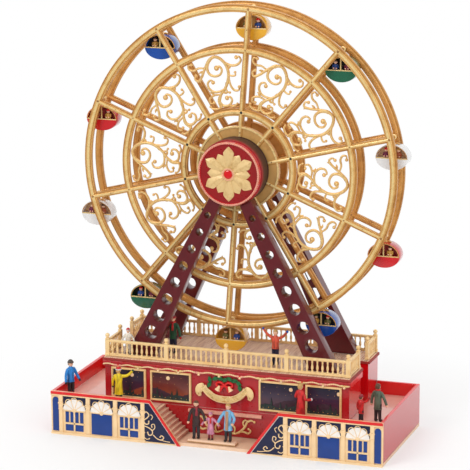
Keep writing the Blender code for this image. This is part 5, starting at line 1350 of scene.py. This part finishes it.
class Figure:
    """A standing person built up from the feet, facing -Y until turned. Sizes are for one 36 mm tall."""

    def __init__(self, piece, x, y, foot_z, height, facing, coat, legs, coat_end=16.5, hat=None,
                 hair=HAIR_BROWN, arms=((0, 0), (0, 0)), gloves=SKIN, scarf=None, brim=None,
                 skirt=0.0, stride=0.4, front=None):
        self.piece = piece
        self.coat, self.legs, self.gloves = coat, legs, gloves
        size = height / 36.0
        piece.move(Matrix.Translation((x, y, foot_z)) @ Matrix.Rotation(math.radians(facing), 4, "Z")
                   @ Matrix.Scale(size, 4))
        self.build_legs(stride)
        self.build_torso(coat_end, skirt, front)
        for side, (lift, bend) in zip((-1, 1), arms):
            self.build_arm(side, lift, bend)
        self.build_head(hat, hair, brim)
        if scarf:
            self.build_scarf(scarf)
        piece.move()

    def loft(self, levels, finish, sides=18):
        """Level ovals of (height, half width, half depth, middle y) joined into a closed skin."""
        rows = []
        for height, wide, deep, shift in levels:
            rows.append([(wide * math.cos(turn), shift + deep * math.sin(turn), height)
                         for turn in turns(sides)])
        self.piece.rows(rows, finish, around=True, caps=True)

    def build_legs(self, stride):
        for side in (-1, 1):
            step = side * stride
            path = smooth_line([(side * 1.75, 0, 17), (side * 2.0, -0.3 * step, 9),
                                (side * 2.0, step, 1.6)], 5)
            count = len(path) - 1
            radii = [2.05 - 0.75 * index / count for index in range(count + 1)]
            self.piece.tube(path, radii, 12, self.legs)
            foot = Vector((side * 2.1, step - 1.1, 1.15))
            self.piece.ball(foot, (1.45, 2.6, 1.15), BOOTS, 8, 12)
            self.piece.ball(foot + Vector((0, 1.2, 1.0)), (1.35, 1.45, 1.6), BOOTS, 7, 12)

    def build_torso(self, coat_end, skirt, front):
        hem = 3.7 + skirt
        self.loft([(coat_end, hem * 0.96, 2.9 + skirt * 0.7, 0), (coat_end + 0.5, hem, 3.0 + skirt * 0.7,
                                                                  0), (max(coat_end + 2, 19.5), 3.55,
                                                                       2.75, 0), (21.5, 3.4, 2.6, 0),
                   (24.5, 3.9, 2.75, 0.1), (27.0, 4.25, 2.7, 0.2), (28.6, 3.7, 2.3, 0.2), (29.6, 2.1,
                                                                                           1.7, 0.2),
                   (30.3, 1.4, 1.4, 0.1)], self.coat)
        if front:
            strip = smooth_line([(0, -2.2, 29.3), (0, -2.85, 26), (0, -2.9, 22),
                                 (0, -3.1 - skirt * 0.6, coat_end + 0.6)], 5)
            self.piece.tube(strip, [1.1] + [1.5] * (len(strip) - 1), 8, front, flat=0.35)
        for button in range(3):
            self.piece.ball((0.5, -2.95, 19 + 2.6 * button), 0.3, BOOTS, 4, 6)
        hem_line = [Vector(((hem + 0.02) * math.cos(turn), (3.0 + skirt * 0.7) * math.sin(turn),
                            coat_end + 0.35)) for turn in turns(20, 1)]
        self.piece.tube(hem_line, 0.35, 6, self.coat, up=Vector((0, 0, 1)))

    def build_arm(self, side, lift, bend):
        """Lift swings the upper arm out and up from hanging, bend swings the forearm forward, in degrees."""
        lift, bend = math.radians(lift), math.radians(bend)
        shoulder = Vector((side * 4.0, 0.2, 27.4))
        upper = Vector((side * (0.20 + math.sin(lift)), -0.08, -math.cos(lift))).normalized() * 6.0
        elbow = shoulder + upper
        fore = Vector((side * (0.02 + math.sin(lift) * (1 - abs(math.sin(bend)) * 0.6)), -math.sin(bend),
                       -math.cos(lift) * math.cos(bend) if lift < 1.2
                       else 0.9 * math.cos(bend))).normalized() * 5.6
        wrist = elbow + fore
        line = smooth_line([point for point in (shoulder + Vector((-side * 0.8, 0, 0.4)),
                                                shoulder + upper * 0.3, elbow, wrist)], 4)
        count = len(line) - 1
        self.piece.tube(line, [1.65 - 0.45 * step / count for step in range(count + 1)], 10, self.coat,
                        up=Vector((0.3, 1, 0.2)))
        hand = wrist + fore.normalized() * 1.0
        self.piece.ball(hand, (1.15, 1.25, 1.35), self.gloves, 7, 10)
        thumb = hand + Vector((-side * 0.9, -0.5, 0.4))
        self.piece.ball(thumb, 0.5, self.gloves, 5, 7)

    def build_head(self, hat, hair, brim):
        self.piece.tube([(0, 0, 29.6), (0, -0.1, 31.6)], 1.15, 12, SKIN, up=Vector((0, 1, 0)))
        self.loft([(30.6, 0.6, 0.7, -0.5), (30.9, 1.3, 1.5, -0.35), (31.8, 1.9, 2.1, -0.2), (33.0, 2.2,
                                                                                             2.4, 0),
                   (34.2, 2.15, 2.35, 0.1), (35.2, 1.6, 1.8, 0.15), (35.8, 0.7, 0.8, 0.15)], SKIN, 16)
        self.piece.ball((0, -2.45, 32.7), (0.36, 0.4, 0.5), SKIN, 6, 8)
        for side in (-1, 1):
            self.piece.ball((side * 0.85, -2.2, 33.45), (0.26, 0.16, 0.2), BOOTS, 5, 7)
            self.piece.ball((side * 2.2, 0.1, 32.9), (0.3, 0.5, 0.7), SKIN, 5, 7)
        self.piece.ball((0, -2.15, 31.75), (0.6, 0.16, 0.13), CLOTH["maroon"], 4, 8)
        if hair:
            self.loft([(31.2, 1.7, 1.0, 1.3), (32.2, 2.35, 1.8, 0.95), (33.6, 2.45, 2.2, 0.6),
                       (34.6, 2.35, 2.5, 0.15), (35.6, 1.7, 1.9, 0.2), (36.2, 0.6, 0.7, 0.2)], hair, 16)
        if hat:
            self.loft([(34.2, 2.5, 2.75, 0.05), (35.0, 2.55, 2.8, 0.05), (36.0, 2.1, 2.3, 0.1),
                       (36.8, 1.2, 1.4, 0.1), (37.1, 0.3, 0.35, 0.1)], hat, 18)
            band = [Vector((2.55 * math.cos(turn), 0.05 + 2.8 * math.sin(turn), 34.3))
                    for turn in turns(20, 1)]
            self.piece.tube(band, 0.5, 7, brim or hat, up=Vector((0, 0, 1)))

    def build_scarf(self, scarf):
        ring = [Vector((1.9 * math.cos(turn), -0.1 + 1.95 * math.sin(turn),
                        30.2 + 0.3 * math.sin(turn))) for turn in turns(16, 1)]
        self.piece.tube(ring, 0.85, 8, scarf, up=Vector((0, 0, 1)))
        tail = smooth_line([(0.6, -2.0, 29.9), (1.1, -3.2, 27.2), (1.0, -3.5, 22.6)], 5)
        self.piece.tube(tail, [0.9] * 6 + [1.15] * 5, 8, scarf, flat=0.5)


def build_people():
    """Where each stands and faces comes from the part, and how they are dressed from the photograph."""
    terrace, deck = TERRACE_Z + SEAT, DECK_TOP_Z + SEAT
    ways = (
        ("left_terrace_man", (-150, -40), terrace, 36, 60,
         dict(coat=CLOTH["sky_blue"], legs=CLOTH["charcoal"], coat_end=15.5, hat=CLOTH["grey_brown"],
              hair=HAIR_BROWN, arms=((8, 10), (14, 30)), gloves=CLOTH["charcoal"])),
        ("left_terrace_child", (-100, -44.5), terrace, 35, 175,
         dict(coat=CLOTH["yellow"], legs=CLOTH["bottle_green"], coat_end=9.5, skirt=0.6,
              hat=CLOTH["scarlet"], brim=CLOTH["white"], hair=HAIR_BLOND, arms=((112, 50), (12, 20)),
              gloves=CLOTH["bottle_green"])),
        ("right_terrace_woman", (77, -44), terrace, 36, 150,
         dict(coat=CLOTH["scarlet"], legs=CLOTH["charcoal"], coat_end=7.5, skirt=1.0, hair=HAIR_BLOND,
              arms=((14, 80), (14, 80)), gloves=CLOTH["white"])),
        ("deck_child_left", (-99, -21.5), deck, 26, 10,
         dict(coat=CLOTH["cream"], legs=CLOTH["cream"], coat_end=9, skirt=0.4, hat=CLOTH["scarlet"],
              brim=CLOTH["white"], arms=((20, 40), (20, 20)), gloves=CLOTH["scarlet"])),
        ("deck_man", (-62, 0), deck, 36, -8,
         dict(coat=CLOTH["bottle_green"], legs=CLOTH["navy_trousers"], coat_end=14, hat=CLOTH["maroon"],
              brim=CLOTH["scarlet"], arms=((24, 20), (16, 10)), gloves=CLOTH["scarlet"],
              scarf=CLOTH["scarlet"])),
        ("deck_child_right", (42, -10), deck, 34, -10,
         dict(coat=CLOTH["orange_red"], legs=CLOTH["navy_trousers"], coat_end=17, hair=HAIR_BLOND,
              arms=((130, 0), (130, 0)), gloves=CLOTH["royal_blue"])),
    )
    for node, (x, y), foot_z, height, facing, dress in ways:
        piece = Piece(SKIN)
        Figure(piece, x, y, foot_z, height, facing, **dress)
        piece.done(node + "_painted", "base", "figure_plastic", node)

    pair = Piece(SKIN)
    Figure(pair, 131, -33, terrace, 27, 150, coat=CLOTH["scarlet"], legs=CLOTH["charcoal"], coat_end=13,
           hat=CLOTH["maroon"], hair=HAIR_BROWN, arms=((125, 0), (15, 20)), gloves=CLOTH["maroon"])
    Figure(pair, 144, -23, terrace, 36, 165, coat=CLOTH["grey_green"], legs=CLOTH["charcoal"], coat_end=12,
           hair=HAIR_BROWN, arms=((16, 12), (12, 10)), gloves=SKIN, scarf=CLOTH["scarlet"])
    pair.done("terrace_pair_painted", "base", "figure_plastic", "right_terrace_pair")

    family = Piece(SKIN)
    plinth_z = 6 + SEAT
    low, high = (-27, -59, 3 + SEAT), (19, -50, plinth_z)
    family.block(low, high, STAIR_CREAM, 0.6)
    family.block((low[0] - 0.4, low[1] - 0.4, low[2]), (high[0] + 0.4, high[1] + 0.4,
                                                                   low[2] + 1.1), DARK_CREAM, 0.4)
    Figure(family, -20, -54.5, plinth_z, 36, 8, coat=CLOTH["dark_brown"], legs=CLOTH["charcoal"],
           coat_end=12, hair=HAIR_BROWN, arms=((10, 10), (22, 25)), scarf=CLOTH["maroon"])
    Figure(family, -6, -54.5, plinth_z, 26, 0, coat=CLOTH["pink"], legs=CLOTH["maroon"], coat_end=8,
           skirt=1.2, hat=CLOTH["pink"], hair=HAIR_BLOND, arms=((40, 15), (40, 15)),
           gloves=CLOTH["scarlet"], scarf=CLOTH["scarlet"])
    Figure(family, 11, -54.5, plinth_z, 36, -6, coat=CLOTH["light_blue"], legs=CLOTH["charcoal"],
           coat_end=11, skirt=0.5, hair=HAIR_BLOND, arms=((24, 20), (12, 60)), gloves=SKIN,
           front=CLOTH["tan"])
    family.done("court_family_painted", "base", "figure_plastic", "court_family")


# Crank drive


def build_drive():
    """Finishes for the carried-over rods and gears, and a turned knob."""
    for node, finish in (("axle", STEEL), ("drive_shaft", STEEL), ("crank_wire", STEEL),
                         ("bearing_plate", STEEL), ("drive_belt", RUBBER), ("drive_gear", GOLD),
                         ("crank_pinion", GOLD), ("rear_hub_drum", MAROON)):
        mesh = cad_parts[node].data
        mesh.materials.clear()
        mesh.materials.append(finish.material)
    low, high = (Vector(corner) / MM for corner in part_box("crank_knob"))
    middle = (low + high) / 2
    length, radius = high.y - low.y, (high.x - low.x) / 2
    knob = Piece(GEM_RED)
    profile = [(0.02, 0.0), (0.62, 0.0), (0.70, 0.03), (0.66, 0.10), (0.82, 0.24), (1.0, 0.52),
               (0.98, 0.74), (0.80, 0.92), (0.45, 0.99), (0.02, 1.0)]
    knob.turned([(wide * radius, low.y + share * length) for wide, share in profile], (middle.x, 0,
                                                                                       middle.z), "Y",
                32, GEM_RED)
    knob.done("crank_knob_turned", "crank_knob", "red_plastic", "crank_knob")


studio()
build_wheel()
build_cars()
build_hub()
build_legs()
build_base()
build_deck()
build_railings()
build_house()
build_pictures()
build_ribbon()
build_people()
build_drive()
